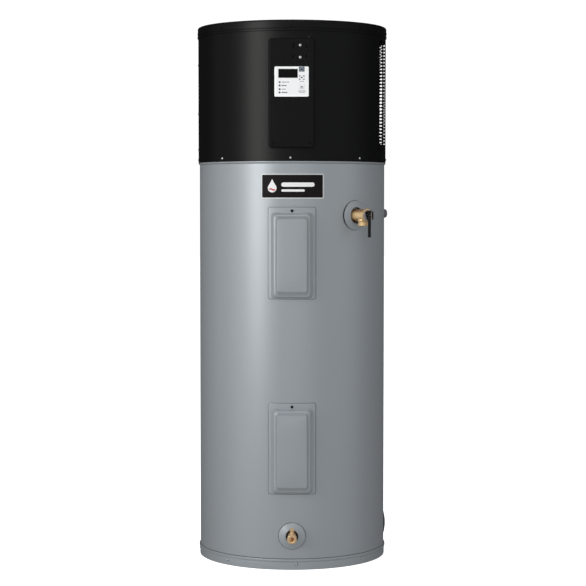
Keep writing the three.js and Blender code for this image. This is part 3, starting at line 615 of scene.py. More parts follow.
def make_shroud():
    low, high = SHROUD[0].z, SHROUD[1].z
    r = SHROUD_R
    # Azimuths of the three seams between the sheets.
    start, side, back = -86.4, 64.8, 122.4

    def sheet(name, first, last, holes, node, step=2.5):
        outline = rectangle(arc(first + SEAM_GAP, r), arc(last - SEAM_GAP, r), low, high)
        mesh = sheet_mesh(outline, holes, r, SHEET, step)
        keep(name, mesh, "shroud_paint", nodes=[node])

    window = rounded(around(PANEL, -8 * MM), 4)
    sheet("shroud_front_sheet", start, side, [[(math.asin(x / r) * r, z) for x, z in window]], "shroud_front")

    slots = []
    for az in (69.0, 77.4, 96.6, 105.0, 113.4):
        for row in range(31):
            slots.append(slot_at(arc(az, r), 1211 * MM + row * 9.75 * MM, 13.9 * MM, 3.15 * MM, 3.1))
    sheet("exhaust_grille", side, back, slots, "exhaust_panel", 1.8)

    slots = []
    for column in range(12):
        for row in range(3):
            x, z = arc(140.4 + 7.2 * column, r), 1252 * MM + row * 104 * MM
            slots += [slot_at(x + offset, z, 4 * MM, 44 * MM, 3.9) for offset in (-6.5 * MM, 6.5 * MM)]
    slots.append(circle(arc(180, r), middle("condensate_drain_stub").z, 11 * MM))
    sheet("shroud_rear_sheet", back, start + 360, slots, "shroud_rear")

    # An upright web behind the intake louvres stiffens the rear sheet between it and the filter.
    behind, far = FILTER[1].y, r - 2 * MM
    web = rounded(rectangle(-1.0 * MM, 1.0 * MM, behind + 6 * MM, far), 0.8, 2)
    rings = [[(x, y, z * MM) for x, y in web] for z in (1206, 1506)]
    # A ledge under the cap closes the gap behind the filter.
    half = 166 * MM
    reach = math.degrees(math.asin(half / far))
    ledge = [(-half, behind + 1.5 * MM), (half, behind + 1.5 * MM)]
    ledge += [(far * math.sin(a), far * math.cos(a))
              for a in (math.radians(reach * (1 - k / 12)) for k in range(25))]
    verts, faces = flat_sheet(ledge, [])
    shelf = thick(verts, faces, lambda p: (p.x, p.y, 1541 * MM), lambda p: (p.x, p.y, 1539.5 * MM))
    keep("shroud_rear_web", mesh_of([skin(rings), shelf]), "shroud_paint")

    sunk = r - 0.2 * MM
    foot = 1165
    screw_ring("shroud_foot_screws", sunk, foot, UPPER_SCREW_AZ, "zinc", 0.8, pan_head)
    # Dark washers under the foot screws are painted shadow rings.
    screw_ring("shroud_foot_shade_washers", sunk, foot, UPPER_SCREW_AZ, "dark_rubber_and_painted_shade", 0.8, shade_washer)
    seams = []
    for az in (start - 1.6, side + 1.4, back - 1.4):
        for z in (1442, 1300, 1195):
            seams.append(on_side(low_screw(0.62), az, z * MM, sunk))
    keep("shroud_seam_screws", mesh_of(seams), "black_screw")
    # One more screw holds the front sheet above the right half of the control panel.
    az = math.degrees(math.asin(46.7 * MM / r))
    single = on_side(hex_screw(0.6), az, 1501 * MM, sunk)
    keep("shroud_front_screw", mesh_of(single), "dark_rubber_and_painted_shade")


def make_cap():
    top, rim = CAP[1].z, CAP[0].z + 3 * MM
    r, bead = CAP_R, CAP_BEAD_R
    inner = r - 1.3 * MM
    flat = r - 7 * MM
    profile = rounded([
        (flat, top), (r, top), (r, rim + 8.2 * MM), (r - 0.7 * MM, rim + 7.8 * MM),
        (r - 0.7 * MM, rim + 7 * MM), (bead, rim + 6 * MM), (bead, rim), (inner, rim),
        (inner, top - 3 * MM), (flat, top - 1.5 * MM),
    ], [0, 5, 0.2, 0.2, 0.2, 1.0, 1.4, 0.4, 1, 0], 6)
    skirt = revolved(profile, AROUND)
    holes = [rounded(around(FILTER, 1.2 * MM, 1), 3), rounded(around(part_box("junction_box"), -4 * MM, 1), 3)]
    verts, faces = flat_sheet(circle(0, 0, flat, AROUND), holes)
    disc = thick(verts, faces, lambda p: (p.x, p.y, top), lambda p: (p.x, p.y, top - 1.5 * MM))
    shell = mesh_of([skirt, disc], 30)
    for polygon in shell.polygons:
        polygon.use_smooth = abs(polygon.normal.z) < 0.999
    keep("cap_shell", shell, "shroud_paint", nodes=["top_cap"])
    screw_ring("cap_screws", r - 0.2 * MM, 1533.5, UPPER_SCREW_AZ, "black_screw", 0.7,
               low_screw)


def panel_outline(x0, x1, z0, z1, radius, splits=8, steps=6):
    """Rounded rectangle whose straight sides are split evenly, so that two of them can be skinned."""
    corners = [(x1, z1, 0), (x0, z1, 1), (x0, z0, 2), (x1, z0, 3)]
    arcs = []
    for x, z, quarter in corners:
        cx = x - math.copysign(radius, x - (x0 + x1) / 2)
        cz = z - math.copysign(radius, z - (z0 + z1) / 2)
        angles = [math.pi / 2 * (quarter + k / steps) for k in range(steps + 1)]
        arcs.append([Vector((cx + radius * math.cos(a), cz + radius * math.sin(a))) for a in angles])
    points = []
    for here, following in zip(arcs, arcs[1:] + arcs[:1]):
        points.extend(here)
        points.extend(here[-1].lerp(following[0], k / splits) for k in range(1, splits))
    return points


def closed(bm, ends, holes):
    """Closes a body with flat faces, each an (x, z) outline and a depth, and lines the holes between them."""
    for loop, y in ends:
        verts, faces = flat_sheet(loop, holes)
        made = {i: bm.verts.new((verts[i].x, y, verts[i].y)) for face in faces for i in face}
        for face in faces:
            bm.faces.new([made[i] for i in face])
    for hole in holes:
        loops = [[bm.verts.new((x, y, z)) for x, z in hole] for _, y in ends]
        for i in range(len(hole)):
            k = (i + 1) % len(hole)
            bm.faces.new((loops[0][i], loops[0][k], loops[1][k], loops[1][i]))
    bmesh.ops.remove_doubles(bm, verts=bm.verts, dist=2e-6)
    return bm


def dished(outer, inner, holes):
    """A hollow raised panel: rings from its open back edge to its flat front, and holes in the front."""
    bm = joined([skin(outer, False), skin(inner, False), skin([outer[0], inner[0]], False)])
    ends = [([(x, z) for x, _, z in rings[-1]], rings[-1][0][1]) for rings in (outer, inner)]
    return closed(bm, ends, holes)


def on_drum(points, radius):
    """Flat (x, z) points laid on the cylinder around the tank."""
    return [(x, -math.sqrt(radius ** 2 - x ** 2), z) for x, z in points]


def at_depth(points, y):
    return [(x, y, z) for x, z in points]


def make_control_panel():
    (x0, face, z0), (x1, _, z1) = PANEL
    bevel = 4.5 * MM
    steps = 6
    lip = SHROUD_R + 0.3 * MM

    def ring(inset, radius):
        return panel_outline(x0 + inset, x1 - inset, z0 + inset, z1 - inset, radius)

    outer = [on_drum(ring(0, 9 * MM), lip), at_depth(ring(0, 9 * MM), face + bevel)]
    for step in range(1, steps + 1):
        a = math.pi / 2 * step / steps
        inset = bevel * (1 - math.cos(a))
        outer.append(at_depth(ring(inset, 9 * MM - inset * 0.6), face + bevel * (1 - math.sin(a))))
    inner = [on_drum(ring(2.5 * MM, 7 * MM), lip), at_depth(ring(2.5 * MM, 7 * MM), face + 5 * MM),
             at_depth(ring(5.5 * MM, 5 * MM), face + 2.5 * MM)]
    holes = [rounded(rectangle(-44 * MM, 41.5 * MM, 1339 * MM, 1417.6 * MM), 3)]
    for _, z in BRACKET_SCREWS:
        holes.append(circle(BRACKET_X * MM, z * MM, 2.6 * MM, 16))
    # Spare keyholes of the bracket that the two screws hold.
    for x, z, half in ((3.8, 1476.5, 6), (40.3, 1475.5, 4.5), (3.8, 1446, 4), (40.3, 1446, 3.8)):
        holes.append(slot_at(x * MM, z * MM, 1.1 * MM, half * MM, 1.0, 3))
    for x, z in COVER_SCREWS:
        holes.append(circle(x * MM, z * MM, 3.0 * MM, 20))
    keep("control_cover", mesh_of(dished(outer, inner, holes), 30), "panel_plastic", nodes=["control_panel"])
    heads = []
    for x, z in COVER_SCREWS:
        head = revolved(mm([(0, 0), (2.7, 0), (2.7, 1.2), (2.2, 1.7), (0, 1.9)]), 24)
        heads.append(moved(head, Matrix.Translation((x * MM, face + 2.4 * MM, z * MM)) @ FACING))
    keep("control_cover_screws", mesh_of(heads), "black_screw")
    for level, z in BRACKET_SCREWS:
        place = Matrix.Translation((BRACKET_X * MM, face, z * MM)) @ FACING
        keep(level + "_bracket_screw", mesh_of(moved(pan_head(1.0), place)), "zinc",
             nodes=[level + "_panel_screw"])
        # A dark washer under each bracket screw is a painted shadow ring.
        keep(level + "_bracket_shade_washer", mesh_of(moved(shade_washer(0.95), place)), "dark_rubber_and_painted_shade")


# ---------- user interface ----------


def slab(outline, holes, back, front, bevel=0.0):
    """Flat plate of (x, z) outline between two depths, with a bevelled front edge."""
    if not bevel:
        verts, faces = flat_sheet(outline, holes)
        return thick(verts, faces, lambda p: (p.x, front, p.y), lambda p: (p.x, back, p.y))
    centre = sum((Vector(p) for p in outline), Vector((0, 0))) / len(outline)
    low = Vector((min(p[0] for p in outline), min(p[1] for p in outline)))
    high = Vector((max(p[0] for p in outline), max(p[1] for p in outline)))
    scale = Vector((1 - 2 * bevel / (high.x - low.x), 1 - 2 * bevel / (high.y - low.y)))
    small = [(centre.x + (x - centre.x) * scale.x, centre.y + (z - centre.y) * scale.y) for x, z in outline]
    bm = skin([at_depth(outline, back), at_depth(outline, front + bevel), at_depth(small, front)], False)
    return closed(bm, ((outline, back), (small, front)), holes)


def make_interface():
    (x0, face, z0), (x1, back, z1) = BEZEL
    keys = {name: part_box(name + "_button") for name in ("up", "down", "mode")}
    holes = [rounded(around(DISPLAY, 0.3 * MM), 1.2)]
    holes += [rounded(around(key, 0.25 * MM), 2) for key in keys.values()]
    outline = rounded(rectangle(x0, x1, z0, z1), 3.5, 6)
    keep("interface_bezel", mesh_of(slab(outline, holes, back, face, 0.7 * MM), 25), "white_plastic",
         nodes=["display_bezel"])
    # The printed film covers the bezel except for a white border.
    border, edge = 6 * MM, 1.0 * MM
    film = rounded(rectangle(x0 + border, x1 - border * 0.55, z0 + border, z1 - 2.6 * MM), 1.5)
    film_holes = [rounded(around(DISPLAY, 1.5 * MM), 1.6)]
    for low, high in keys.values():
        top = min(high.z + edge, z1 - 2.8 * MM)
        film_holes.append(rounded(rectangle(low.x - edge, high.x + edge, low.z - edge, top), 1.2))
    film_holes = [h for h in film_holes if max(p[1] for p in h) < z1 - 2.7 * MM]
    stuck, printed = face - 0.02 * MM, face - 0.14 * MM
    keep("interface_film", mesh_of(slab(film, film_holes, stuck, printed)), "field_film")

    low, high = DISPLAY
    window = rounded(around(DISPLAY, 0.0), 1.0)
    edge = rounded(rectangle(low.x - 1.2 * MM, high.x + 1.8 * MM, low.z - 1.2 * MM, high.z + 1.5 * MM), 1.2)
    keep("lcd_surround", mesh_of(slab(edge, [window], stuck, face - 0.2 * MM)), "mark_dark")
    keep("lcd_window", mesh_of(slab(window, [], high.y, low.y, 0.3 * MM), 25), "lcd_glass",
         nodes=["display_window"])

    def bar(x, z, width, height):
        shape = rectangle(x * MM, (x + width) * MM, (z - height / 2) * MM, (z + height / 2) * MM)
        return slab(rounded(shape, min(width, height) * 0.3, 3), [], printed, face - 0.24 * MM)

    # Bars of generic print stand for the words beside the four modes and near the keys.
    thin, bold = [], []
    words = ((12, 8), (4, 3.5, 4), (6, 4.5), (5, 3.5, 5))
    for z, widths, row, height in zip(LABEL_ROWS, words, (thin, bold, thin, bold), (2.0, 2.7, 2.0, 2.7)):
        x = -28.5
        for width in widths:
            row.append(bar(x, z, width, height))
            x += width + 0.8
    for x, z, width in ((21.5, 1376, 5), (28, 1376, 5.5), (17, 1349.8, 5), (23, 1349.8, 6.5),
                        (30.5, 1349.8, 8.5), (21, 1346.2, 6), (28, 1346.2, 7.5)):
        thin.append(bar(x, z, width, 1.7))
    keep("interface_labels", mesh_of(thin), "mark_grey")
    keep("interface_bold_labels", mesh_of(bold), "mark_dark")
    lights = []
    for z in LABEL_ROWS:
        dome = revolved(mm([(0, 0), (2.6, 0), (2.5, 0.35), (1.4, 0.7), (0, 0.8)]), 24)
        lights.append(moved(dome, Matrix.Translation((-34.4 * MM, face - 0.1 * MM, z * MM)) @ FACING))
    keep("interface_lights", mesh_of(lights), "mark_dark")

    key_back = -283 * MM
    for name, finish in (("up", "key_grey"), ("down", "white_plastic"), ("mode", "field_film")):
        low, high = keys[name]
        cap = slab(rounded(around(keys[name], 0.0), 2, 5), [], key_back, low.y, 0.6 * MM)
        x, z = (low.x + high.x) / 2, (low.z + high.z) / 2
        square = rectangle(x - 2 * MM, x + 2 * MM, z - 2 * MM, z + 2 * MM)
        stem = slab(square, [], high.y, key_back - 0.2 * MM)
        body = name + "_key"
        keep(name + "_key_cap", mesh_of([cap, stem], 30), finish, body, [name + "_button"])
        keep(name + "_key_icon", mesh_of(icon_parts(name, x, z, low.y)), "mark_dark", body)


def icon_parts(name, x, z, front):
    """An arrow with corner brackets, or three bars, printed on a key."""
    def shape(points, radius=0):
        placed = rounded([(x + px * MM, z + pz * MM) for px, pz in points], radius, 3)
        return slab(placed, [], front - 0.01 * MM, front - 0.12 * MM)

    if name == "mode":
        return [shape(rectangle(-3.2, 3.2, 0.4, 2.8), 0.8), shape(rectangle(-4.6, -1.4, -2.8, -1.0)),
                shape(rectangle(-0.6, 1.2, -2.8, -1.0)), shape(rectangle(2.0, 4.6, -2.8, -1.0))]
    point = 1 if name == "up" else -1
    parts = [shape([(-4.6, -2.2 * point), (4.6, -2.2 * point), (0, 2.8 * point)][::point])]
    for sx in (-1, 1):
        for sz in (-1, 1):
            across = [(sx * 2.8, sz * 6.0), (sx * 7.2, sz * 6.0), (sx * 7.2, sz * 4.4), (sx * 2.8, sz * 4.4)]
            upright = [(sx * 5.6, sz * 4.3), (sx * 7.2, sz * 4.3), (sx * 7.2, sz * 1.6), (sx * 5.6, sz * 1.6)]
            parts += [shape(across[::sx * sz]), shape(upright[::-sx * sz])]
    return parts


# ---------- badge and element covers ----------


def make_badge():
    low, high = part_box("nameplate")
    z0, z1 = low.z, high.z
    r = JACKET_R + 1.0 * MM
    printed = r + 0.42 * MM
    left, right = arc(-18.5, r), arc(19.3, r)
    plate = sheet_mesh(rounded(rectangle(left, right, z0, z1), 5, 6), [], r, 0.8 * MM)
    keep("badge_plate", plate, "plate_silver", nodes=["nameplate"])
    field = rounded(rectangle(arc(-17.9, r), arc(18.5, r), z0 + 3.4 * MM, z1 - 3.2 * MM), 2.0, 6)
    keep("badge_field", sheet_mesh(field, [], r + 0.25 * MM, 0.3 * MM), "plate_black")

    middle_z = (z0 + z1) / 2
    centre = left + 32 * MM
    size = 12.5 * MM
    drop = []
    for k in range(40):
        a = 2 * math.pi * k / 40
        pull = max(0.0, math.sin(a)) ** 6
        drop.append((centre + size * math.cos(a) * (1 - 0.55 * pull),
                     middle_z - 5 * MM + size * math.sin(a) + 12 * MM * pull))
    keep("badge_drop", sheet_mesh(drop, [], printed, 0.18 * MM), "mark_white")
    wave = []
    for k in range(25):
        t = k / 24
        wave.append((centre + (t - 0.5) * 17 * MM, middle_z - 7 * MM + 1.6 * MM * math.sin(2 * math.pi * t)))
    band = wave + [(x, z - 4 * MM) for x, z in reversed(wave)]
    keep("badge_wave", sheet_mesh(band, [], printed + 0.12 * MM, 0.14 * MM), "mark_red")
    # Two bars stand for the maker's lettering.
    bars = []
    for x0, x1, z, height in ((58, 152, 4.5, 12), (58, 124, -12, 6.5)):
        shape = rectangle(left + x0 * MM, left + x1 * MM, middle_z + (z - height / 2) * MM,
                          middle_z + (z + height / 2) * MM)
        bars.append(bent_sheet(rounded(shape, height * 0.49, 8), [], printed, 0.18 * MM))
    keep("badge_bars", radial_normals(plain_mesh(joined(bars), False)), "mark_white")


def make_cover(node):
    low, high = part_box(node)
    bottom, top = low.z, high.z
    half, whole = high.x / MM, (top - bottom) / MM
    drum = JACKET_R + 0.4 * MM
    flange = drum + 2.2 * MM

    def ring(width, lower, upper, corner):
        return panel_outline(-width * MM, width * MM, bottom + lower * MM, bottom + upper * MM, corner * MM,
                             14, 8)

    def standing(points, depth):
        """Points at one depth, or on the flange where that stands further out."""
        return [(x, -max(depth * MM, math.sqrt(flange ** 2 - x ** 2)), z) for x, z in points]

    outer = []
    for inset, lift in ((0, -0.6), (0, 1.2), (0.35, 1.8), (1.0, 2.1), (2.2, 2.2)):
        outer.append(on_drum(ring(half - inset, inset, whole - inset, 6 - inset / 2), drum + lift * MM))
    steps = [
        # depth, half width, lower and upper edge above the bottom, corner radius
        (265.0, 62.0, 1.6, 246.4, 12.0), (269.2, 58.8, 2.0, 243.9, 11.5), (273.4, 56.2, 2.4, 241.6, 11.0),
        (276.8, 54.2, 3.4, 239.9, 10.8), (280.2, 52.7, 4.7, 238.3, 10.6), (283.4, 51.6, 6.2, 237.0, 10.4),
        (284.2, 51.1, 6.7, 236.5, 10.2), (284.7, 50.2, 7.6, 235.6, 9.8), (284.8, 48.6, 9.2, 234.0, 9.2),
        (285.2, 47.8, 10.1, 233.2, 9.0), (287.4, 45.5, 13.4, 230.7, 8.2), (289.6, 43.8, 16.4, 228.6, 7.4),
        (291.8, 42.5, 18.9, 226.7, 6.6), (293.2, 41.9, 20.0, 225.7, 6.2), (293.9, 41.4, 20.5, 225.2, 5.8),
        (-low.y / MM, 40.5, 21.4, 224.3, 5.2),
    ]
    for before, after in zip(steps, steps[1:]):
        # The slope near the flange is split more finely, because it turns into the flange there.
        count = 4 if before[0] < 276 else 1
        for k in range(count):
            depth, *shape = (a + (b - a) * k / count for a, b in zip(before, after))
            outer.append(standing(ring(*shape), depth))
    outer.append(at_depth(ring(*steps[-1][1:]), low.y))
    inner = [on_drum(ring(57.0, 5.6, 239.0, 6.0), drum - 0.4 * MM)]
    inner += [at_depth(ring(width, lower, upper, 5.5), -depth * MM) for depth, width, lower, upper in (
        (273.0, 52.0, 6.4, 236.6), (281.4, 49.0, 9.4, 233.8), (283.2, 46.2, 12.4, 231.2),
        (291.8, 40.0, 22.4, 223.2),
    )]
    keep(node + "_moulding", mesh_of(dished(outer, inner, []), 28), "jacket_paint", nodes=[node])
    # A thin dark sheet just outside the flange's edge is a painted shadow line around the flange.
    reach = 0.8 * MM
    ends = [(math.asin(x / JACKET_R) * drum, z)
            for x, z in rectangle(-high.x - reach, high.x + reach, bottom - reach, top + reach)]
    shadow_rim = sheet_mesh(rounded(ends, 6.5, 6), [], drum + 0.7 * MM, 1.0 * MM)
    keep(node + "_gasket", shadow_rim, "dark_rubber_and_painted_shade")
    screw = on_side(hex_screw(0.72), 0, bottom + 247.8 * MM, flange)
    level = node.split("_")[0]
    keep(level + "_cover_fastener", mesh_of(screw), "black_screw", nodes=[level + "_cover_screw"])


# ---------- water fittings ----------


def out_body(name, parts, az, z, material, nodes=(), sharp=35):
    """A fitting made around its own outward axis (+Z before it is turned), at its port."""
    matrix = outward(az, z) @ FACING
    return keep(name, mesh_of(moved(joined(parts), matrix), sharp), material, BODY, nodes)


def turned(points, radii, steps=4, segments=96):
    """A solid of revolution from a profile in mm with rounded corners."""
    return revolved(rounded(mm(points), radii, steps), segments)


def trim_ring(node, az, z, outer, hole, height, material="trim_grey", shade_sleeve=False):
    """A moulded cone around a fitting, on a dark ring that is a painted shadow line around its foot; a dark sleeve
    of painted shade lines a wide hole.
    """
    j = JACKET_R / MM
    foot = 0.8
    cone = turned([
        (hole, j - 6), (outer - 1.4, j - 6), (outer - 1.4, j + foot), (outer - 0.9, j + foot),
        (outer - 0.9, j + foot + 1.0), (hole + 3.4, j + height), (hole + 0.3, j + height),
        (hole, j + height - 1.2),
    ], [0, 0, 0, 0.1, 0.6, 0.8, 0.3, 0])
    out_body(node + "_cone", [cone], az, z, material, [node], sharp=40)
    # Dark rings of painted shadow: one under the cone's edge and, in a wide hole, one lining it.
    dark_rubber_and_painted_shade = [turned([(outer - 1.3, j - 6), (outer, j - 6), (outer, j + foot), (outer - 1.3, j + foot)],
                     [0, 0, 0.5, 0.2], 3)]
    if shade_sleeve:
        dark_rubber_and_painted_shade.append(turned([(hole - 1.5, j - 5), (hole + 0.2, j - 5), (hole + 0.2, j + height - 1.0),
                              (hole - 1.5, j + height - 1.6)], [0, 0, 0.4, 0.6], 3))
    out_body(node + "_gasket", dark_rubber_and_painted_shade, az, z, "dark_rubber_and_painted_shade")


def bar_block(x0, x1, y0, y1, z0, z1, bevel=0.4):
    """Box with rounded upright edges and soft ends, in mm."""
    def ring(inset, z):
        shape = rectangle((x0 + inset) * MM, (x1 - inset) * MM, (y0 + inset) * MM, (y1 - inset) * MM)
        return [(x, y, z * MM) for x, y in rounded(shape, bevel, 3)]
    return skin([ring(bevel, z0), ring(0, z0 + bevel), ring(0, z1 - bevel), ring(bevel, z1)])


def make_relief_valve():
    az, z = RELIEF_AZ, RELIEF_Z
    j = JACKET_R / MM
    trim_ring("relief_valve_trim_ring", az, z, 42.5, 23.0, 8.5, shade_sleeve=True)
    barrel = turned([
        (9, j - 38), (13.3, j - 38), (13.3, j - 5), (18.25, j - 4), (18.25, j + 45.6), (19.5, j + 46.2),
        (19.5, j + 50), (3.4, j + 50), (3.4, j + 44), (9, j + 44),
    ], [0, 0.3, 0.5, 0.8, 0.3, 0.5, 0.7, 0, 0, 0])
    outlet = turned([(10.5, -30), (14.5, -30), (14.5, 2), (10.5, 2)], [0.8, 1.0, 0, 0], 4, 72)
    fillet = turned([(13.8, -19.5), (14.5, -19.0), (16.4, -15.0), (16.4, -10), (13.8, -10)],
                    [0, 0.8, 1.0, 0, 0], 3, 72)
    place = outward(az, z)
    down = place @ Matrix.Translation((0, -(j + 35.5) * MM, 0))
    body = [moved(barrel, place @ FACING), moved(outlet, down), moved(fillet, down)]
    keep("relief_valve_brass", mesh_of(body, 32), "valve_brass", nodes=["relief_valve_body"])

    plate = skin([hexagon(across * MM, (j + depth) * MM)
                  for depth, across in ((50.25, 15.7), (50.7, 16.25), (53.4, 16.25), (54.0, 15.5))])
    keep("relief_valve_plate", mesh_of(moved(plate, place @ FACING), 32), "bonnet_steel",
         nodes=["relief_valve_bonnet"])
    parts = []
    for side in (-1, 1):
        # V-shaped ear: its arms run from the plate's upper and lower edge to the hinge pin.
        outline = [(53.5, 14.5), (60.2, 14.0), (60.2, 8.5), (57.0, 4.5), (53.5, 4.0)]
        profile = rounded(mm([(-j - out, up) for out, up in outline]), 0.5, 3)
        rings = [[(x * MM, y, up) for y, up in profile] for x in (side * 5.7, side * 7.5)]
        parts.append(moved(skin(rings), place))
    for side in (-1, 1):
        arm = bar_block(-1.9, 1.9, -j - 55.6, -j - 53.8, -13, 11)
        lean = Matrix.Translation((side * 5.2 * MM, 0, 0)) @ Matrix.Rotation(math.radians(side * 24), 4, "Y")
        parts.append(moved(arm, place @ lean))
    keep("relief_valve_yoke", mesh_of(parts, 32), "black_screw")

    hinge = Matrix.Translation((0, -(j + HINGE_OUT) * MM, HINGE_UP * MM))
    hinge = hinge @ Matrix.Rotation(math.pi / 2, 4, "Y")
    lever = bar_block(-5.1, 5.1, -j - 61.5, -j - 58.5, -62, 12.5, 0.9)
    knuckle = moved(revolved(mm([(0, -4.7), (2.4, -4.7), (2.4, 4.7), (0, 4.7)]), 24), hinge)
    outer_bar = bar_block(-2.5, 2.5, -j - 74.5, -j - 71.5, -11.5, 11.5, 0.9)
    keep("relief_lever_bars", mesh_of(moved(joined([lever, knuckle, outer_bar]), place), 32), "dark_plastic",
         "relief_lever", ["relief_valve_lever"])
    pin = revolved(mm([(0, -8.6), (1.2, -8.6), (1.5, -8.3), (1.5, 8.3), (1.2, 8.6), (0, 8.6)]), 24)
    link = moved(revolved(mm([(0, 61), (2.0, 61), (2.0, 72), (0, 72)]), 24),
                 Matrix.Translation((0, -j * MM, 0)) @ FACING)
    keep("relief_lever_pins", mesh_of(moved(joined([moved(pin, hinge), link]), place)), "steel",
         "relief_lever")
    stem = turned([(0, j + 32), (3, j + 32), (3, j + 57.7), (0, j + 57.7)], [0, 0, 0.6, 0], 4, 32)
    keep("relief_stem_rod", mesh_of(moved(stem, place @ FACING)), "steel", "relief_stem",
         ["relief_valve_stem"])


def make_drain_valve():
    z = DRAIN_Z
    trim_ring("drain_valve_trim_ring", 0, z, 38.5, 17.5, 9.0, shade_sleeve=True)
    place = outward(0, z)
    threads = []
    for k in range(5):
        start = 311 + 2.6 * k
        threads += [(13.4, start), (13.4, start + 1.5), (12.7, start + 2.0)]
    barrel = turned([
        (6, 232), (13.3, 232), (13.3, 262), (12.0, 262.5), (12.0, 308), *threads, (13.4, 324.4),
        (13.4, 327.6), (12.6, 329.4), (10.6, 330), (7.6, 330), (6.3, 329.2), (6, 327.4), (6, 316),
        (2.6, 314.5), (2.6, 309), (2.4, 290),
    ], 0.2, 2, 72)
    boss = turned([(4.8, 9), (6.2, 9), (6.2, 15), (4.8, 15)], [0, 0, 0.6, 0.3], 4, 48)
    at_ball = place @ Matrix.Translation((0, -300 * MM, 0))
    body = [moved(barrel, place @ FACING), moved(boss, at_ball)]
    keep("drain_valve_brass", mesh_of(body, 32), "brass", nodes=["drain_valve_body"])

    ball = revolved([(9 * MM * math.cos(a), 9 * MM * math.sin(a)) for a in
                     (math.radians(-90 + 10 * k) for k in range(19))], 48)
    stem = turned([(0, 7.5), (4.5, 7.5), (4.5, 18), (0, 18)], [0, 0, 0.4, 0], 3, 32)
    half, shoulder = 5.7, 21.6
    outline = [(-half, 17.6), (half, 17.6), (half, shoulder)]
    outline += [(half * math.cos(math.pi * k / 12), shoulder + half * math.sin(math.pi * k / 12))
                for k in range(1, 13)]
    rings = []
    for depth, inset in ((-2.5, 0.5), (-2.0, 0.0), (2.0, 0.0), (2.5, 0.5)):
        scale = 1 - inset / half
        rings.append([(x * scale * MM, depth * MM, (up - 21) * scale * MM + 21 * MM) for x, up in outline])
    rib = bar_block(-1.1, 1.1, -3.3, -2.3, 18.5, 25.0)
    keep("drain_handle_paddle", mesh_of(moved(joined([ball, stem, skin(rings), rib]), at_ball), 32), "brass",
         "drain_handle", ["drain_valve_handle"])


def make_pipe_ends():
    trim_ring("hot_outlet_trim_ring", HOT_AZ, HOT_Z, 38.0, 14.0, 9.0)
    end = math.hypot(*MOUNTS["hot_outlet_face"]["pos_m"][:2]) / MM
    thread_pitch = 1.8
    threads = []
    depth = 284.0
    while depth < end - 3.5:
        threads += [(13.2, depth), (12.5, depth + 0.7)]
        depth += thread_pitch
    profile = mm([
        (10.4, 232), (13.3, 232), (13.3, 283), *threads, (12.4, end - 2.0), (11.6, end - 0.7), (11.0, end),
        (10.6, end), (10.4, end - 0.3),
    ])
    out_body("hot_outlet_pipe", [revolved(profile, 72)], HOT_AZ, HOT_Z, "steel_dark", ["hot_outlet_nipple"])
    trim_ring("cold_inlet_trim_ring", COLD_AZ, COLD_Z, 38.0, 19.6, 5.3, "dark_plastic")
    end = math.hypot(*MOUNTS["cold_inlet_face"]["pos_m"][:2]) / MM
    grooves = []
    depth = end - 18.0
    while depth < end - 3.0:
        grooves += [(12.4, depth), (12.9, depth + 0.9)]
        depth += thread_pitch
    profile = mm([
        (9.5, 232), (13.3, 232), (13.3, 252), (18.4, 252), (19, 252.8), (19, end - 0.8), (18.4, end),
        (13.2, end), (12.4, end - 1), *reversed(grooves), (12.4, end - 19), (9.5, end - 20),
    ])
    out_body("cold_inlet_coupling", [revolved(profile, 72)], COLD_AZ, COLD_Z, "brass_dark",
             ["cold_inlet_socket"])
    low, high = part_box("condensate_drain_stub")
    y0, y1 = low.y / MM, high.y / MM
    barbs = []
    for k in range(4):
        barbs += [(9.2, y1 - 22 + 5 * k), (10, y1 - 18.5 + 5 * k)]
    profile = mm([(7, y0), (13, y0), (13, y0 + 2.7), (9.2, y0 + 3), *barbs, (8.6, y1), (7, y1)])
    out_body("condensate_spigot", [revolved(profile, 64)], 180, (low.z + high.z) / 2, "white_plastic",
             ["condensate_drain_stub"])


# ---------- what sits inside or on top ----------
CARRIED = {
    "tank_vessel": "tank_enamel", "foam_insulation": "foam", "condenser_coil": "bare_aluminium",
    "anode_rod": "steel", "upper_heating_element": "steel", "lower_heating_element": "steel",
    "upper_thermostat": "dark_plastic", "lower_thermostat": "dark_plastic", "control_board": "circuit_board",
    "compressor": "dark_plastic", "compressor_mount_plate": "galvanised", "accumulator": "dark_plastic",
    "evaporator_coil": "bare_aluminium", "fan_shroud": "galvanised", "fan_motor": "dark_plastic",
    "fan_rotor": "dark_plastic", "condensate_tray": "dark_plastic", "filter_guide_frame": "dark_plastic",
    "air_filter": "dark_plastic", "expansion_valve": "brass", "liquid_line": "copper",
    "discharge_line": "copper", "suction_line": "copper", "accumulator_pipe": "copper",
    "junction_box": "galvanised", "junction_box_cover": "shroud_paint",
}


def finish_carried_nodes():
    for node, material in CARRIED.items():
        piece = frame["nodes"][node]
        piece.data.materials.clear()
        piece.data.materials.append(MATERIALS[material])


# ---------- floor, lights and camera ----------


def area_light(name, location, target, size, power, glossy=True, color=(1, 1, 1)):
    lamp = bpy.data.lights.new(name, "AREA")
    lamp.color = color
    lamp.shape = "RECTANGLE"
    lamp.size, lamp.size_y = size
    lamp.energy = power
    light = add_object(name, lamp)
    light.location = location
    aim = Vector(target) - Vector(location)
    light.rotation_euler = aim.to_track_quat("-Z", "Y").to_euler()
    light.visible_glossy = glossy


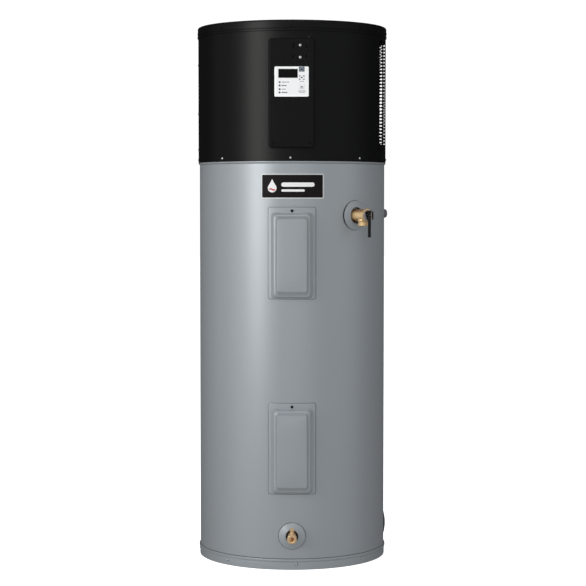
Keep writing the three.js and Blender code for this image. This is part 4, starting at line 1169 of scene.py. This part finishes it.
def make_stage():
    material, nodes, links = shader("floor_white")
    bsdf = nodes["Principled BSDF"]
    bsdf.inputs["Roughness"].default_value = 0.9
    bsdf.inputs["Specular IOR Level"].default_value = 0.0
    bsdf.inputs["Emission Color"].default_value = (1, 1, 1, 1)
    bsdf.inputs["Emission Strength"].default_value = 0.9
    drift = noise(nodes, links, 2.0)
    links.new(blended(nodes, links, drift, (0.93, 0.93, 0.93), (0.96, 0.96, 0.96)), bsdf.inputs["Base Color"])
    bm = bmesh.new()
    bmesh.ops.create_grid(bm, x_segments=8, y_segments=8, size=30)
    mesh = bpy.data.meshes.new("floor")
    bm.to_mesh(mesh)
    bm.free()
    mesh.materials.append(material)
    floor = add_object("floor", mesh)
    floor.location.z = -0.5 * MM
    floor.visible_diffuse = False
    floor.visible_glossy = False

    world = bpy.data.worlds.new("studio")
    bpy.context.scene.world = world
    world.use_nodes = True
    nodes, links = world.node_tree.nodes, world.node_tree.links
    nodes.clear()
    # The room is brighter in front of the tank than behind it, and its gloss is kept low.
    way = nodes.new("ShaderNodeSeparateXYZ")
    links.new(nodes.new("ShaderNodeTexCoord").outputs["Generated"], way.inputs["Vector"])

    def room(front, back):
        strength = spread(nodes, links, way.outputs["Y"], front, back, -0.4, 0.4)
        background = nodes.new("ShaderNodeBackground")
        background.inputs["Color"].default_value = (0.97, 0.985, 1.0, 1)
        links.new(strength, background.inputs["Strength"])
        return background.outputs["Background"]

    path = nodes.new("ShaderNodeLightPath")
    seen = nodes.new("ShaderNodeBackground")
    seen.inputs["Color"].default_value = (1, 1, 1, 1)
    seen.inputs["Strength"].default_value = 1.05
    surfaces = nodes.new("ShaderNodeMixShader")
    links.new(path.outputs["Is Glossy Ray"], surfaces.inputs["Fac"])
    links.new(room(0.42, 0.3), surfaces.inputs[1])
    links.new(room(0.2, 0.02), surfaces.inputs[2])
    mix = nodes.new("ShaderNodeMixShader")
    links.new(path.outputs["Is Camera Ray"], mix.inputs["Fac"])
    links.new(surfaces.outputs["Shader"], mix.inputs[1])
    links.new(seen.outputs["Background"], mix.inputs[2])
    links.new(mix.outputs["Shader"], nodes.new("ShaderNodeOutputWorld").inputs["Surface"])


def make_lights():
    area_light("key_soft", (-2.1, -2.5, 1.75), (-0.1, -0.25, 1.45), (1.2, 2.3), 26, color=(1.0, 0.98, 0.955))
    area_light("left_strip", (-3.3, 0.5, 1.1), (0, -0.2, 1.1), (0.4, 2.4), 1.0)
    area_light("left_soft", (-3.4, -1.7, 1.1), (0, 0, 0.9), (1.5, 2.2), 54, glossy=False)
    area_light("right_soft", (3.6, -1.3, 1.3), (0, 0, 0.9), (1.5, 2.2), 28, glossy=False)
    area_light("front_soft", (0.4, -4.8, 1.1), (0, 0, 0.9), (2.0, 1.4), 46, glossy=False)
    area_light("top_front", (0.5, -3.4, 4.3), (0, 0, 0.9), (1.6, 1.0), 10)
    area_light("back_soft", (2.6, 3.2, 2.2), (0, 0, 1.0), (1.6, 2.2), 30, glossy=False)


def make_camera():
    data = bpy.data.cameras.new("camera")
    data.sensor_width = 36
    data.lens = 109.03
    camera = add_object("camera", data)
    tilt_down = 0.0499
    camera.location = (0.0028, -5.25397, 1.03428)
    camera.rotation_euler = (math.pi / 2 - tilt_down, 0, 0)
    bpy.context.scene.camera = camera


make_camera()
bpy.context.scene.view_settings.view_transform = "Standard"
make_stage()
make_lights()
make_base()
make_jacket()
make_collar()
make_shroud()
make_cap()
make_control_panel()
make_interface()
make_badge()
for cover in COVERS:
    make_cover(cover)
make_relief_valve()
make_drain_valve()
make_pipe_ends()
base_sunk, base_height = BASE_R - 0.2 * MM, 15.5
screw_ring("base_screws", base_sunk, base_height, BASE_SCREW_AZ, "zinc", 0.8, pan_head)
# Dark washers under the base screws are painted shadow rings.
screw_ring("base_shade_washers", base_sunk, base_height, BASE_SCREW_AZ, "dark_rubber_and_painted_shade", 0.8, shade_washer)
finish_carried_nodes()
